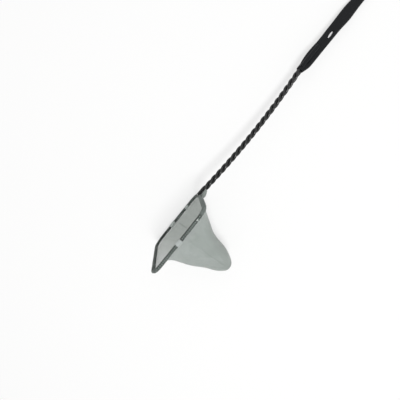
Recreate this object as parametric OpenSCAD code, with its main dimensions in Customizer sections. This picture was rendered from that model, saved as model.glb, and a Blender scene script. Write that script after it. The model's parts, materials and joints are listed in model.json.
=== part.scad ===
// Aquarium fish net, lying on a level surface: hoop on its side, bag to one side, grip to the right.
// All lengths are in millimetres and all angles in degrees.
// Net frame: X from the neck toward the grip, Z across the mouth, the bag hangs toward -Y.
// laid() turns the net frame into the resting frame, with +Z up and the origin under the middle.

/* [Wire] */
// Outside diameter of the coated wire
wire_d = 2.75; // [2.3:0.05:3.2]
// Diameter of the steel core
core_d = 1.8; // [1.2:0.05:2]
// Play between the core and its coating, on the radius
core_play = 0.05; // [0.03:0.01:0.1]
// Play between coated wires that lie side by side
strand_play = 0.2; // [0.15:0.05:0.5]

/* [Hoop] */
// Width of the mouth across the handle, wire centre to wire centre
mouth_w = 98; // [80:1:125]
// Length of the mouth along the handle, wire centre to wire centre
mouth_l = 77; // [64:1:96]
// Centre line radius of the four corners of the hoop
corner_r = 11.5; // [10:0.5:18]
// How far the shoulder corners lie ahead of the neck
shoulder_drop = 5.5; // [4:0.5:12]
// Centre line radius of the two bends at the neck
neck_r = 3.2; // [2.6:0.1:4]
// Length of the straight neck below the twist
neck_l = 5; // [4.5:0.5:9]
// Distance of the hoop from the shank's axis, toward the bag
hoop_offset = 4.9; // [3:0.1:8]
// Warp of the long sides out of the flat, at their middle
hoop_bow = 0.2; // [0:0.1:4]
// How far the free wire end reaches past the twist, toward the hoop
free_end_l = 6; // [3:0.5:7]

/* [Shank] */
// Length from the neck to the grip
shank_l = 166; // [120:1:240]
// Turns of the three-strand twist
shank_turns = 6.5; // [5.5:1:8.5]
// Bow of the shank toward the bag, at its middle
shank_bow = 3.5; // [0:0.1:4]

/* [Grip] */
// Length from the end of the shank to the centre of the hanging eye
grip_l = 108; // [90:1:150]
// Distance between the two wires inside the grip
leg_gap = 5.8; // [5:0.1:7]
// Distance of the first leg's wire from the shank's axis, away from the bag
leg_side = 1.1; // [0.5:0.1:1.6]
// How far the legs lie below the shank's axis
leg_low = 0.3; // [0:0.05:0.6]
// Width of the grip at its widest
grip_w = 11.4; // [11.2:0.1:13]
// Radius of a rounded edge of the grip
lobe_r = 2.36; // [2.15:0.01:2.6]
// Thickness of the skin between the two legs
web_t = 3.2; // [2.4:0.1:4]
// Thickness of the soft skin round a wire at the tail and the eye
skin_t = 0.69; // [0.5:0.01:1]
// Length of the third wire's tail inside the grip
tail_l = 28.5; // [20:0.5:34]
// Distance from the first leg's wire up to the tail
tail_rise = 3.33; // [3.2:0.01:3.8]
// Length over which the three wires spread inside the grip
spread_l = 14.5; // [12:0.5:17]
// Distance from the start of the grip to the middle of the slot
slot_at = 47.8; // [44:0.1:54]
// Length of the slot
slot_l = 11; // [7:0.5:14]
// Width of the slot
slot_w = 2.2; // [1.6:0.1:2.4]
// Skin left between the slot and the second leg's wire
slot_rim = 0.39; // [0.2:0.01:0.5]
// Centre line radius of the hanging eye
eye_r = 5.4; // [4.8:0.1:6.5]
// Centre line radius of the bends that lead into the eye
eye_lead_r = 6; // [4.5:0.5:9]

/* [Bag] */
// Depth of the bag below the hoop
bag_depth = 78; // [60:1:95]
// Thickness of the mesh
mesh_t = 0.6; // [0.4:0.1:1]
// How far the tip of the seam leans toward the handle
tip_lean = 0; // [0:0.1:8]
// How far the upper side of the bag falls behind the hoop
bag_droop = 38; // [0:1:42]
// How far the tip hangs below the middle of the mouth
tip_low = 12; // [0:1:18]
// Diameter of the overlocked seam
seam_d = 1.2; // [0.8:0.1:2]

/* [Hem] */
// Thickness of the mesh folded round the wire
hem_t = 0.35; // [0.3:0.05:0.6]
// Play between the wire and the hem, on the radius
hem_play = 0.05; // [0.03:0.01:0.1]
// Length of the doubled patch where the seam meets the hoop
patch_l = 7; // [4:0.5:12]
// Thickness of the doubled patch
patch_t = 0.45; // [0.3:0.05:0.8]
// Diameter of the sewing thread
thread_d = 0.5; // [0.4:0.05:0.7]
// Length of the mesh flap along the neck
flap_l = 11; // [7:0.5:14]
// Angle that the flap wraps round the neck
flap_angle = 150; // [90:5:180]

/* [Hidden] */
$fn = 48;

// Counts that set how finely the curves are cut
arc_steps = 6;
run_steps = 3;
twist_rings_per_turn = 8;
spread_rings = 5;
wire_sides = 8;
core_sides = 6;
thread_sides = 6;
strand_count = 3;
lobe_steps = 6;
lead_steps = 3;
eye_steps = 14;
skin_sides = 8;
dome_steps = 3;
slot_steps = 4;
mouth_sides = 12;
// Share of a quarter turn that the rounded end of the tail covers before it is cut flat
dome_share = 0.85;
overrun = 0.5;
// Half of the arc that rounds each edge of the grip
lobe_half_turn = 120;
// Angle from straight below the wire out to the line of stitches
thread_angle = 20;

// Sizes that follow from the wire
wire_r = wire_d / 2;
core_r = core_d / 2;
core_bore_r = core_r + core_play;
lay_r = (wire_d + strand_play) / sqrt(strand_count);
lay_angle = 360 / strand_count;
skin_bore_r = wire_r + core_play;
mouth_bore_r = lay_r + skin_bore_r - strand_play;
hem_bore_r = wire_r + hem_play;
hem_r = hem_bore_r + hem_t;
patch_r = hem_r + patch_t;

// Places along the net
mid_x = -shoulder_drop - mouth_l / 2;
end_x = -shoulder_drop - mouth_l;
side_z = mouth_w / 2;
strand_lead = wire_d;
leg_y = [leg_side, leg_side - leg_gap];
eye_y = leg_side - leg_gap / 2;
eye_x = shank_l + grip_l;
legs_x = shank_l + spread_l;

// Sweeps: a path is a list of points, and ref is a direction that the path never follows
function unit(v) = v / norm(v);
function reversed(list) = [for (i = [len(list) - 1 : -1 : 0]) list[i]];
function smooth(t) = t * t * (3 - 2 * t);
function blend(a, b, t) = a + (b - a) * t;
function part_of(list, first, last) = [for (i = [first : last]) list[i]];
function tangent(path, i) = unit(path[min(i + 1, len(path) - 1)] - path[max(i - 1, 0)]);
function ring(path, i, r, sides, ref) =
    let (t = tangent(path, i), a = unit(cross(ref, t)), b = cross(t, a), here = is_list(r) ? r[i] : r)
    [for (k = [0 : sides - 1]) path[i] + here * (cos(360 * k / sides) * a + sin(360 * k / sides) * b)];
function wall(rows, n, start, inward) = [for (i = [0 : rows - 2], k = [0 : n - 1])
    let (a = start + i * n + k, b = start + i * n + (k + 1) % n, c = a + n, d = b + n)
    each inward ? [[a, b, c], [b, d, c]] : [[a, c, b], [b, c, d]]];

module rod(path, r, sides, ref) {
    rows = len(path);
    last = (rows - 1) * sides;
    polyhedron(
        points = [for (i = [0 : rows - 1]) each ring(path, i, r, sides, ref)],
        faces = concat(wall(rows, sides, 0, false),
            [[for (k = [0 : sides - 1]) k]],
            [[for (k = [sides - 1 : -1 : 0]) last + k]]));
}

module tube(path, r_out, r_in, sides, ref) {
    rows = len(path);
    inner = rows * sides;
    last = (rows - 1) * sides;
    polyhedron(
        points = concat([for (i = [0 : rows - 1]) each ring(path, i, r_out, sides, ref)],
            [for (i = [0 : rows - 1]) each ring(path, i, r_in, sides, ref)]),
        faces = concat(wall(rows, sides, 0, false), wall(rows, sides, inner, true),
            [for (k = [0 : sides - 1]) let (m = (k + 1) % sides)
                each [[k, m, inner + k], [m, inner + m, inner + k]]],
            [for (k = [0 : sides - 1]) let (m = (k + 1) % sides)
                each [[last + m, last + k, inner + last + k],
                    [inner + last + m, last + m, inner + last + k]]]));
}

// The route of the hoop's wire, from the neck round the mouth and back
function bend(a, b, c, r, steps) =
    let (u = unit(a - b), v = unit(c - b), half = acos(u * v) / 2, reach = r / tan(half),
        centre = b + unit(u + v) * r / sin(half), p = b + u * reach - centre,
        q = b + v * reach - centre, sweep = acos(unit(p) * unit(q)))
    [for (i = [0 : steps]) centre + (sin(sweep * (1 - i / steps)) * p
        + sin(sweep * i / steps) * q) / sin(sweep)];
function between(a, b, steps) = [for (i = [1 : steps - 1]) blend(a, b, i / steps)];
function last_of(list) = list[len(list) - 1];
function warp_share(x) = max(0, 1 - pow((x - mid_x) / (mouth_l / 2), 2));
function warped(p) = p - [0, hoop_bow * p.z / side_z * warp_share(p.x), 0];
neck_start = [neck_l, -lay_r / 2, lay_r * sin(lay_angle / 2)];
neck_turn = [0, -lay_r / 2, lay_r * sin(lay_angle / 2)];
corner_shoulder = [-shoulder_drop, -hoop_offset, side_z];
corner_end = [end_x, -hoop_offset, side_z];
corner_below = [end_x, -hoop_offset, -side_z];
side_middle = [mid_x, -hoop_offset, side_z];
neck_bend = bend(neck_start, neck_turn, corner_shoulder, neck_r, arc_steps);
shoulder_bend = bend(neck_turn, corner_shoulder, corner_end, corner_r, arc_steps);
end_bend = bend(corner_shoulder, corner_end, corner_below, corner_r, arc_steps);
flat_upper = concat([neck_start], neck_bend,
    between(last_of(neck_bend), shoulder_bend[0], run_steps), shoulder_bend,
    between(last_of(shoulder_bend), side_middle, run_steps), [side_middle]);
flat_end_half = concat([side_middle], between(side_middle, end_bend[0], run_steps), end_bend);
hoop_upper = [for (p = flat_upper) warped(p)];
hoop_end_half = [for (p = flat_end_half) warped(p)];
function below(path) = [for (p = reversed(path)) warped([p.x, p.y, -p.z])];
end_middle = [end_x, -hoop_offset, 0];
hoop_end = concat(hoop_end_half, between(last_of(hoop_end_half), end_middle, run_steps), [end_middle],
    between(end_middle, [end_x, -hoop_offset, -last_of(flat_end_half).z], run_steps), below(flat_end_half));
hoop_lower = below(flat_upper);
hoop_route = concat(hoop_upper, part_of(hoop_end, 1, len(hoop_end) - 2), hoop_lower);
hem_first = 1 + arc_steps;
across = [0, 1, 0];

// The three strands: straight leads, a left-hand twist, then a spread into the legs of the grip
function shank_share(x) = (x - neck_l) / (shank_l - neck_l);
function shank_y(x) = -shank_bow * 4 * shank_share(x) * (1 - shank_share(x));
function lay_start(k) = (k - 1) * lay_angle;
function lay_at(k, x) =
    let (t = min(1, max(0, (x - neck_l - strand_lead) / (shank_l - neck_l - 2 * strand_lead))))
    lay_start(k) - 360 * shank_turns * t;
function on_lay(k, x) = [x, shank_y(x) + lay_r * cos(lay_at(k, x)), lay_r * sin(lay_at(k, x))];
twist_rings = ceil(shank_turns * twist_rings_per_turn);
twist_xs = [for (i = [0 : twist_rings])
    blend(neck_l + strand_lead, shank_l - strand_lead, i / twist_rings)];
spread_xs = [for (i = [1 : spread_rings]) i / spread_rings];
tail_place = [leg_y[0], tail_rise - leg_low];
leg_places = [[leg_y[1], -leg_low], [leg_y[0], -leg_low], tail_place];
function spread_point(k, t) = let (p = on_lay(k, shank_l), q = leg_places[k - 1])
    [shank_l + (spread_l - strand_lead) * t, blend(p.y, q[0], smooth(t)), blend(p.z, q[1], smooth(t))];
function strand_tip(k) = k == 3 ? shank_l + tail_l : legs_x;
function strand_foot(k) = k == 1 ? neck_l - free_end_l : neck_l;
function strand_route(k) = concat([[strand_foot(k), on_lay(k, neck_l).y, on_lay(k, neck_l).z]],
    [for (x = twist_xs) on_lay(k, x)], [on_lay(k, shank_l)],
    [for (t = spread_xs) spread_point(k, t)],
    [[strand_tip(k), leg_places[k - 1][0], leg_places[k - 1][1]]]);
along = [1, 0, 0];
upright = [0, 0, 1];

// The bag: each station is a depth share, then the shares of the mouth left on the handle side,
// on the end side and across
bag_shares = [
    [0.00, 1.00, 1.00, 1.00], [0.05, 0.98, 0.90, 0.99], [0.11, 0.93, 0.82, 0.98],
    [0.20, 0.85, 0.76, 0.97], [0.31, 0.74, 0.73, 0.96], [0.43, 0.61, 0.70, 0.95],
    [0.54, 0.50, 0.64, 0.93], [0.64, 0.43, 0.55, 0.89], [0.73, 0.40, 0.47, 0.83],
    [0.81, 0.37, 0.41, 0.75], [0.88, 0.32, 0.34, 0.65], [0.94, 0.24, 0.25, 0.52],
    [0.98, 0.15, 0.16, 0.36]];
// Depth share at which a section has turned from the mouth's outline to an oval
oval_share = 0.6;
oval_part_share = 0.8;
// How soon the upper side falls: a higher power falls nearer the hoop
fall_power = 16;
rim_y = patch_r + hem_play;
neck_mouth = [neck_turn.x, neck_turn.y, 0];
handle_mouth = concat(reversed(part_of(hoop_upper, hem_first, len(hoop_upper) - 1)), [neck_mouth],
    reversed(part_of(hoop_lower, 0, len(hoop_lower) - 1 - hem_first)));
function bag_point(mouth, side, j, row) =
    let (n = len(mouth) - 1, m = mouth[j], s = row[0], angle = 90 - 180 * j / n,
        b = smooth(min(1, s / oval_share)) * oval_part_share,
        hold = pow(1 - s, 6), near = side * min(side * (m.x - mid_x), mouth_l / 2),
        x = near + (m.x - mid_x - near) * hold, share = side > 0 ? row[1] : row[2],
        z = blend(m.z, side_z * sin(angle), b), fallen = bag_droop * (1 - pow(1 - s, fall_power)))
    [mid_x + tip_lean * s + share * blend(x, side * mouth_l / 2 * cos(angle), b),
        blend(m.y - rim_y, -hoop_offset - bag_depth, s),
        row[3] * (z - fallen * (z + side_z) / mouth_w) - tip_low * s * s];
function bag_grid(mouth, side) =
    [for (row = bag_shares) [for (j = [0 : len(mouth) - 1]) bag_point(mouth, side, j, row)]];
bag_tip = [mid_x + tip_lean, -hoop_offset - bag_depth, -tip_low];
function grid_normal(grid, i, j, side) =
    let (rows = len(grid), n = len(grid[0]),
        down = (i == rows - 1 ? bag_tip : grid[i + 1][j]) - grid[max(i - 1, 0)][j],
        along = grid[i][min(j + 1, n - 1)] - grid[i][max(j - 1, 0)],
        raw = side * cross(down, along),
        flat = [j == 0 || j == n - 1 ? 0 : raw.x, i == 0 ? 0 : raw.y, raw.z])
    unit(flat);
module panel(mouth, side) {
    grid = bag_grid(mouth, side);
    rows = len(grid);
    n = len(mouth);
    inner = rows * n;
    tip = 2 * inner;
    outward = side > 0;
    function turn(f) = outward ? f : reversed(f);
    polyhedron(
        points = concat([for (i = [0 : rows - 1], j = [0 : n - 1]) grid[i][j]],
            [for (i = [0 : rows - 1], j = [0 : n - 1])
                grid[i][j] - mesh_t * grid_normal(grid, i, j, side)],
            [bag_tip, bag_tip + [0, mesh_t, 0]]),
        faces = concat(
            [for (i = [0 : rows - 2], j = [0 : n - 2])
                let (a = i * n + j, b = a + 1, c = a + n, d = c + 1)
                each [turn([a, b, c]), turn([b, d, c])]],
            [for (i = [0 : rows - 2], j = [0 : n - 2])
                let (a = inner + i * n + j, b = a + 1, c = a + n, d = c + 1)
                each [turn([a, c, b]), turn([b, c, d])]],
            [for (j = [0 : n - 2]) each [turn([(rows - 1) * n + j, (rows - 1) * n + j + 1, tip]),
                turn([inner + (rows - 1) * n + j + 1, inner + (rows - 1) * n + j, tip + 1])]],
            [for (j = [0 : n - 2]) each [turn([j + 1, j, inner + j]),
                turn([j + 1, inner + j, inner + j + 1])]],
            [for (i = [0 : rows - 2]) each [turn([i * n, (i + 1) * n, inner + i * n]),
                turn([(i + 1) * n, inner + (i + 1) * n, inner + i * n])]],
            [for (i = [0 : rows - 2]) let (a = i * n + n - 1, b = a + n)
                each [turn([b, a, inner + a]), turn([inner + b, b, inner + a])]],
            [turn([(rows - 1) * n, tip, inner + (rows - 1) * n]),
                turn([tip, tip + 1, inner + (rows - 1) * n]),
                turn([tip, rows * n - 1, inner + rows * n - 1]),
                turn([tip + 1, tip, inner + rows * n - 1])]));
}

// The wire inside the grip: up one leg, round the hanging eye and down the other leg
eye_turn = acos((leg_gap / 2 + eye_lead_r) / (eye_r + eye_lead_r));
lead_x = eye_x - (eye_r + eye_lead_r) * sin(eye_turn);
function arc_in_grip(x, y, r, from, to, steps) = [for (i = [0 : steps])
    [x + r * cos(blend(from, to, i / steps)), y + r * sin(blend(from, to, i / steps)), -leg_low]];
function grip_route(from_x) = concat([[from_x, leg_y[0], -leg_low]],
    arc_in_grip(lead_x, leg_y[0] + eye_lead_r, eye_lead_r, -90, eye_turn - 90, lead_steps),
    part_of(arc_in_grip(eye_x, eye_y, eye_r, 90 + eye_turn, -90 - eye_turn, eye_steps), 1, eye_steps - 1),
    arc_in_grip(lead_x, leg_y[1] - eye_lead_r, eye_lead_r, 90 - eye_turn, 90, lead_steps),
    [[from_x, leg_y[1], -leg_low]]);

// Where the net lies: on the shoulder corner below, on the eye and on the side of the bag
eye_skin_r = wire_r + skin_t;
foot = [-shoulder_drop - corner_r, corner_r - side_z];
far_foot = [eye_x + eye_r, -leg_low];
rest_pitch = atan2(far_foot[1] - foot[1], far_foot[0] - foot[0])
    + asin((corner_r + hem_r - eye_skin_r) / norm(far_foot - foot));
function pitched(p) = [p.x * cos(rest_pitch) + p.z * sin(rest_pitch), p.y,
    p.z * cos(rest_pitch) - p.x * sin(rest_pitch)];
function lowest(points, axis) = min([for (p = points) p[axis]]);
function highest(points, axis) = max([for (p = points) p[axis]]);
bag_grids = concat(bag_grid(handle_mouth, 1), bag_grid(hoop_end, -1));
hoop_foot = lowest([for (p = hoop_route) pitched(p)], 2);
rest_lean = min([for (row = bag_grids, p = row)
    let (q = pitched(p), away = -q.y - hoop_offset, up = q.z - hoop_foot)
    if (away > hem_r) atan2(up, away) + asin(hem_r / norm([up, away]))]);
function leaned(p) = [p.x, p.y * cos(rest_lean) - p.z * sin(rest_lean),
    p.y * sin(rest_lean) + p.z * cos(rest_lean)];
function at_rest(points) = [for (p = points) leaned(pitched(p))];
hoop_points = at_rest(hoop_route);
patch_points = at_rest([for (z = [side_z, -side_z]) warped([mid_x, -hoop_offset, z])]);
eye_points = at_rest(grip_route(eye_x));
bag_points = at_rest([for (row = bag_grids, p = row) p]);
low = [for (axis = [0 : 2]) min(lowest(bag_points, axis), lowest(hoop_points, axis) - hem_r,
    lowest(eye_points, axis) - eye_skin_r, lowest(patch_points, axis) - patch_r)];
high = [for (axis = [0 : 2]) max(highest(bag_points, axis), highest(hoop_points, axis) + hem_r,
    highest(eye_points, axis) + eye_skin_r, highest(patch_points, axis) + patch_r)];
rest_shift = [-(low.x + high.x) / 2, -(low.y + high.y) / 2, -low.z];
module laid() {
    translate(rest_shift) rotate([rest_lean, 0, 0]) rotate([0, rest_pitch, 0]) children();
}

// The hoop
module hoop_core() {
    color("silver") laid() rod(hoop_route, core_r, core_sides, across);
}
module hoop_coating() {
    color("#1d211f") laid() tube(hoop_route, wire_r, core_bore_r, wire_sides, across);
}

// The twisted shank
module strand_core(k) {
    color("silver") laid() rod(strand_route(k), core_r, core_sides, upright);
}
module strand_coating(k) {
    color("#232425") laid() tube(strand_route(k), wire_r, core_bore_r, wire_sides, upright);
}

// The grip's wire
module grip_wire_core() {
    color("silver") laid() rod(grip_route(legs_x), core_r, core_sides, upright);
}
module grip_wire_coating() {
    color("#232425") laid() tube(grip_route(legs_x), wire_r, core_bore_r, wire_sides, upright);
}

// The grip's outline: each station is a length share, then the shares of the width on the side
// away from the bag and toward it, and the radius of the edges in lobe radii
grip_shares = [
    [0.000, 0.320, 0.320, 1.60], [0.020, 0.330, 0.380, 1.60], [0.050, 0.325, 0.470, 1.48],
    [0.085, 0.320, 0.545, 1.30], [0.130, 0.325, 0.560, 1.12], [0.190, 0.330, 0.560, 1.02],
    [0.260, 0.315, 0.560, 1.00], [0.310, 0.296, 0.558, 1.00], [0.380, 0.300, 0.565, 1.00],
    [0.460, 0.305, 0.570, 1.00], [0.540, 0.315, 0.590, 1.02], [0.620, 0.325, 0.635, 1.06],
    [0.680, 0.330, 0.665, 1.08], [0.740, 0.320, 0.650, 1.05], [0.800, 0.304, 0.620, 1.03],
    [0.850, 0.300, 0.610, 1.04], [0.900, 0.300, 0.612, 1.05]];
function grip_section(row) =
    let (r = row[3] * lobe_r, a = row[1] * grip_w - r, b = r - row[2] * grip_w,
        x = shank_l + row[0] * grip_l, middle = (a + b) / 2, half = lobe_half_turn,
        web = max(web_t / 2, r - (a - b) / 2 * (lobe_r / r)))
    concat([for (i = [0 : lobe_steps]) let (g = half * (2 * i / lobe_steps - 1))
            [x, a + r * cos(g), r * sin(g)]],
        [[x, middle, web]],
        [for (i = [0 : lobe_steps]) let (g = 180 + half * (2 * i / lobe_steps - 1))
            [x, b + r * cos(g), r * sin(g)]],
        [[x, middle, -web]]);
module grip_body() {
    rows = len(grip_shares);
    n = 2 * lobe_steps + 4;
    last = (rows - 1) * n;
    polyhedron(
        points = [for (row = grip_shares) each grip_section(row)],
        faces = concat(wall(rows, n, 0, false),
            [[for (k = [0 : n - 1]) k]],
            [[for (k = [n - 1 : -1 : 0]) last + k]]));
}
function spread_route(k) = concat([on_lay(k, shank_l) - [overrun, 0, 0], on_lay(k, shank_l)],
    [for (t = spread_xs) spread_point(k, t)]);
loop_channel = concat(spread_route(2), part_of(grip_route(legs_x), 1, len(grip_route(legs_x)) - 2),
    reversed(spread_route(1)));
tail_channel = concat(spread_route(3), [[shank_l + tail_l + hem_play, tail_place[0], tail_place[1]]]);
tail_dome = [for (i = [0 : dome_steps]) let (g = 90 * i / dome_steps)
    [shank_l + tail_l + eye_skin_r * sin(g * dome_share), tail_place[0], tail_place[1]]];
tail_radii = [for (i = [0 : dome_steps]) eye_skin_r * cos(90 * dome_share * i / dome_steps)];
module tail_skin() {
    rod(concat([[shank_l + strand_lead, tail_place[0], tail_place[1]]], tail_dome),
        concat([eye_skin_r], tail_radii), skin_sides, upright);
}
module slot_cut() {
    slot_r = (slot_l * slot_l / slot_w + slot_w) / 4;
    slot_turn = asin(slot_l / slot_r / 2);
    slot_y = leg_y[1] + skin_bore_r + slot_rim + slot_w / 2;
    translate([shank_l + slot_at, slot_y, -grip_w / 2]) linear_extrude(grip_w)
        polygon([for (side = [1, -1], i = [0 : slot_steps - 1])
            let (g = slot_turn * (2 * i / slot_steps - 1))
            side * [slot_r * sin(g), slot_r * (cos(g) - 1) + slot_w / 2]]);
}
module grip_skin() {
    color("#202225") laid() difference() {
        union() {
            grip_body();
            rod(grip_route(last_of(grip_section(last_of(grip_shares))).x - lobe_r), eye_skin_r,
                skin_sides, upright);
            tail_skin();
        }
        rod(loop_channel, skin_bore_r, wire_sides, upright);
        rod(tail_channel, skin_bore_r, wire_sides, upright);
        translate([shank_l - overrun, 0, 0]) rotate([0, 90, 0])
            cylinder(r1 = mouth_bore_r, r2 = lay_r, h = overrun + 2 * wire_d, $fn = mouth_sides);
        slot_cut();
    }
}

// The bag and its seam
module bag_handle_panel() {
    color("#a6aca9") laid() panel(handle_mouth, 1);
}
module bag_end_panel() {
    color("#a6aca9") laid() panel(hoop_end, -1);
}
seam_in = mesh_t + seam_d / 2 + hem_play;
seam_grid = bag_grid(hoop_end, -1);
function seam_side(j) = [for (i = [1 : len(bag_shares) - 1])
    seam_grid[i][j] - seam_in * grid_normal(seam_grid, i, j, -1)];
seam_route = concat(seam_side(0), [bag_tip + [0, 2 * seam_in, 0]], reversed(seam_side(len(hoop_end) - 1)));
module bag_seam() {
    color("#8d9491") laid() rod(seam_route, seam_d / 2, thread_sides, along);
}

// The hem: the mesh folded round the hoop, its doubled patches, the thread and the flap at the neck
module hem(route) {
    color("#6f7a74") laid() tube(route, hem_r, hem_bore_r, wire_sides, across);
}
module hem_upper() {
    hem(part_of(hoop_upper, hem_first, len(hoop_upper) - 1));
}
module hem_lower() {
    hem(part_of(hoop_lower, 0, len(hoop_lower) - 1 - hem_first));
}
module hem_end() {
    hem(hoop_end);
}
module hem_patch(sign) {
    color("#b9c0bc") laid() translate(warped([mid_x, -hoop_offset, sign * side_z])) rotate([0, 90, 0])
        difference() {
            cylinder(r = patch_r, h = patch_l, center = true);
            cylinder(r = hem_r + hem_play, h = patch_l + overrun, center = true);
        }
}
module hem_patch_upper() {
    hem_patch(1);
}
module hem_patch_lower() {
    hem_patch(-1);
}
function thread_out(p) = (abs(p.x - mid_x) < 2 * patch_l ? patch_r : hem_r) + thread_d / 2 + hem_play;
function thread_point(path, i) = path[i] + thread_out(path[i])
    * (sin(thread_angle) * unit(cross(across, tangent(path, i))) - [0, cos(thread_angle), 0]);
module hem_thread() {
    route = part_of(hoop_route, hem_first, len(hoop_route) - 1 - hem_first);
    color("#dfe3e0") laid() rod([for (i = [0 : len(route) - 1]) thread_point(route, i)],
        thread_d / 2, thread_sides, across);
}
module neck_flap() {
    inner_r = lay_r + wire_r + hem_play;
    color("#9aa39e") laid() translate([neck_l - free_end_l, 0, 0]) rotate([0, 90, 0])
        rotate([0, 0, -90 - flap_angle / 2]) rotate_extrude(angle = flap_angle)
            translate([inner_r, wire_d]) square([hem_t, flap_l]);
}

hoop_core();
hoop_coating();
strand_core(1);  // strand_core_1
strand_core(2);  // strand_core_2
strand_core(3);  // strand_core_3
strand_coating(1);  // strand_coating_1
strand_coating(2);  // strand_coating_2
strand_coating(3);  // strand_coating_3
grip_wire_core();
grip_wire_coating();
grip_skin();
bag_handle_panel();
bag_end_panel();
bag_seam();
hem_upper();
hem_lower();
hem_end();
hem_patch_upper();
hem_patch_lower();
hem_thread();
neck_flap();
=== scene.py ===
"""Aquarium fish net: the looks of its wire, grip, mesh bag and stitching, and the studio that it lies in.

The net is built in its own frame, in millimetres: X runs from the neck toward the grip, Z across the
mouth, and the bag hangs toward -Y. NetFrame puts it where the solids lie, in metres.
"""

import json
import logging
import math
from collections.abc import Callable, Mapping, Sequence
from dataclasses import dataclass, field
from enum import Enum
from typing import Any

import bpy
import numpy as np
from mathutils import Matrix, Vector, noise


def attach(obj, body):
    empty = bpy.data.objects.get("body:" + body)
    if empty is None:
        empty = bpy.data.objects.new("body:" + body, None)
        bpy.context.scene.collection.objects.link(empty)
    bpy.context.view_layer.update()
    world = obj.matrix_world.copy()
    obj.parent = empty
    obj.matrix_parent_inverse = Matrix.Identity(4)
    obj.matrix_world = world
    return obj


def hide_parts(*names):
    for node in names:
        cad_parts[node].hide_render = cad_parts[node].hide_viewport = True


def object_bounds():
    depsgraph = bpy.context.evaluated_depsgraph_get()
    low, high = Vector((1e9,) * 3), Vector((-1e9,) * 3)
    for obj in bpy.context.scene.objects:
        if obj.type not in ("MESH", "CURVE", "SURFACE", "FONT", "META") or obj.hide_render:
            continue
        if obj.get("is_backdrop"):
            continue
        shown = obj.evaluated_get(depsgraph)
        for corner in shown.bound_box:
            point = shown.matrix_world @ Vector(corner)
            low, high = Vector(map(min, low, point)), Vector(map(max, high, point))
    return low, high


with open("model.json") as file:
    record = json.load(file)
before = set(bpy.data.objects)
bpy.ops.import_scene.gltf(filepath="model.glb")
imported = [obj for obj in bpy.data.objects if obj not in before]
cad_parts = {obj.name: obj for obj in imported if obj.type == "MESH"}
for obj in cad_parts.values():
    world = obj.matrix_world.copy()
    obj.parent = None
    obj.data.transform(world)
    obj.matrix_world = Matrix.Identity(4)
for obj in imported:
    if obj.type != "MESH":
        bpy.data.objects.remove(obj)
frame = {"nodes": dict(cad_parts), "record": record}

LOG = logging.getLogger("fish_net")
MM = 0.001
BODY = "root"
FLOOR_GAP = 0.1 * MM  # the least height of cloth over the floor
WHITE = (1.0, 1.0, 1.0)

Points = np.ndarray
Colour = tuple[float, float, float]


class Side(Enum):
    """The two long sides of the hoop, by the sign of Z."""

    UPPER = 1
    LOWER = -1


class Panel(Enum):
    """The two panels of the bag, by the end of the hoop that they hang from."""

    HANDLE = 1
    END = -1


# Points and curves


def unit(v: Sequence[float] | Points) -> Points:
    """Return v at length one."""
    v = np.asarray(v, float)
    return v / np.linalg.norm(v)


def between(a: Points, b: Points, steps: int) -> list[Points]:
    """Return the points that cut the line from a to b into equal steps, without its ends."""
    return [a + (b - a) * i / steps for i in range(1, steps)]


def bend(a: Points, b: Points, c: Points, radius: float, steps: int) -> list[Points]:
    """Round the corner b of the line a, b, c.

    Args:
        a: A point on the first leg.
        b: The corner.
        c: A point on the second leg.
        radius: Radius of the bend.
        steps: Number of steps along it.

    Returns:
        The points of the arc, with both of its ends.
    """
    u, v = unit(a - b), unit(c - b)
    half = math.acos(float(u @ v)) / 2
    centre = b + unit(u + v) * radius / math.sin(half)
    reach = radius / math.tan(half)
    p, q = b + u * reach - centre, b + v * reach - centre
    sweep = math.acos(float(unit(p) @ unit(q)))
    return [
        centre + (math.sin(sweep * (1 - i / steps)) * p + math.sin(sweep * i / steps) * q) / math.sin(sweep)
        for i in range(steps + 1)
    ]


def spline(stops: Points, t: float) -> Points:
    """Return a point of the smooth curve through the rows of stops.

    Args:
        stops: The points that it runs through.
        t: How far along, in rows.

    Returns:
        The curve's point.
    """
    last = len(stops) - 1
    i = min(int(t), last - 1)
    f = t - i
    p1, p2 = stops[i], stops[i + 1]
    p0 = stops[i - 1] if i > 0 else 2 * p1 - p2
    p3 = stops[i + 2] if i + 2 <= last else 2 * p2 - p1
    square, cube = 2 * p0 - 5 * p1 + 4 * p2 - p3, 3 * p1 - p0 - 3 * p2 + p3
    return 0.5 * (2 * p1 + (p2 - p0) * f + square * f**2 + cube * f**3)


def lengths(path: Points) -> Points:
    """Return the length along path at each of its points."""
    return np.concatenate([[0.0], np.cumsum(np.linalg.norm(np.diff(path, axis=0), axis=1))])


def tangents(path: Points) -> Points:
    """Return the unit direction of path at each of its points."""
    steps = np.gradient(path, axis=0)
    return steps / np.linalg.norm(steps, axis=1, keepdims=True)


def smooth(t: float) -> float:
    """Ease t from 0 to 1."""
    t = min(1.0, max(0.0, t))
    return t * t * (3 - 2 * t)


def ripple(x: float, y: float, seed: float) -> float:
    """Return soft noise from -1 to 1 at the place x, y."""
    return noise.noise(Vector((x, y, seed)))


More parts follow.
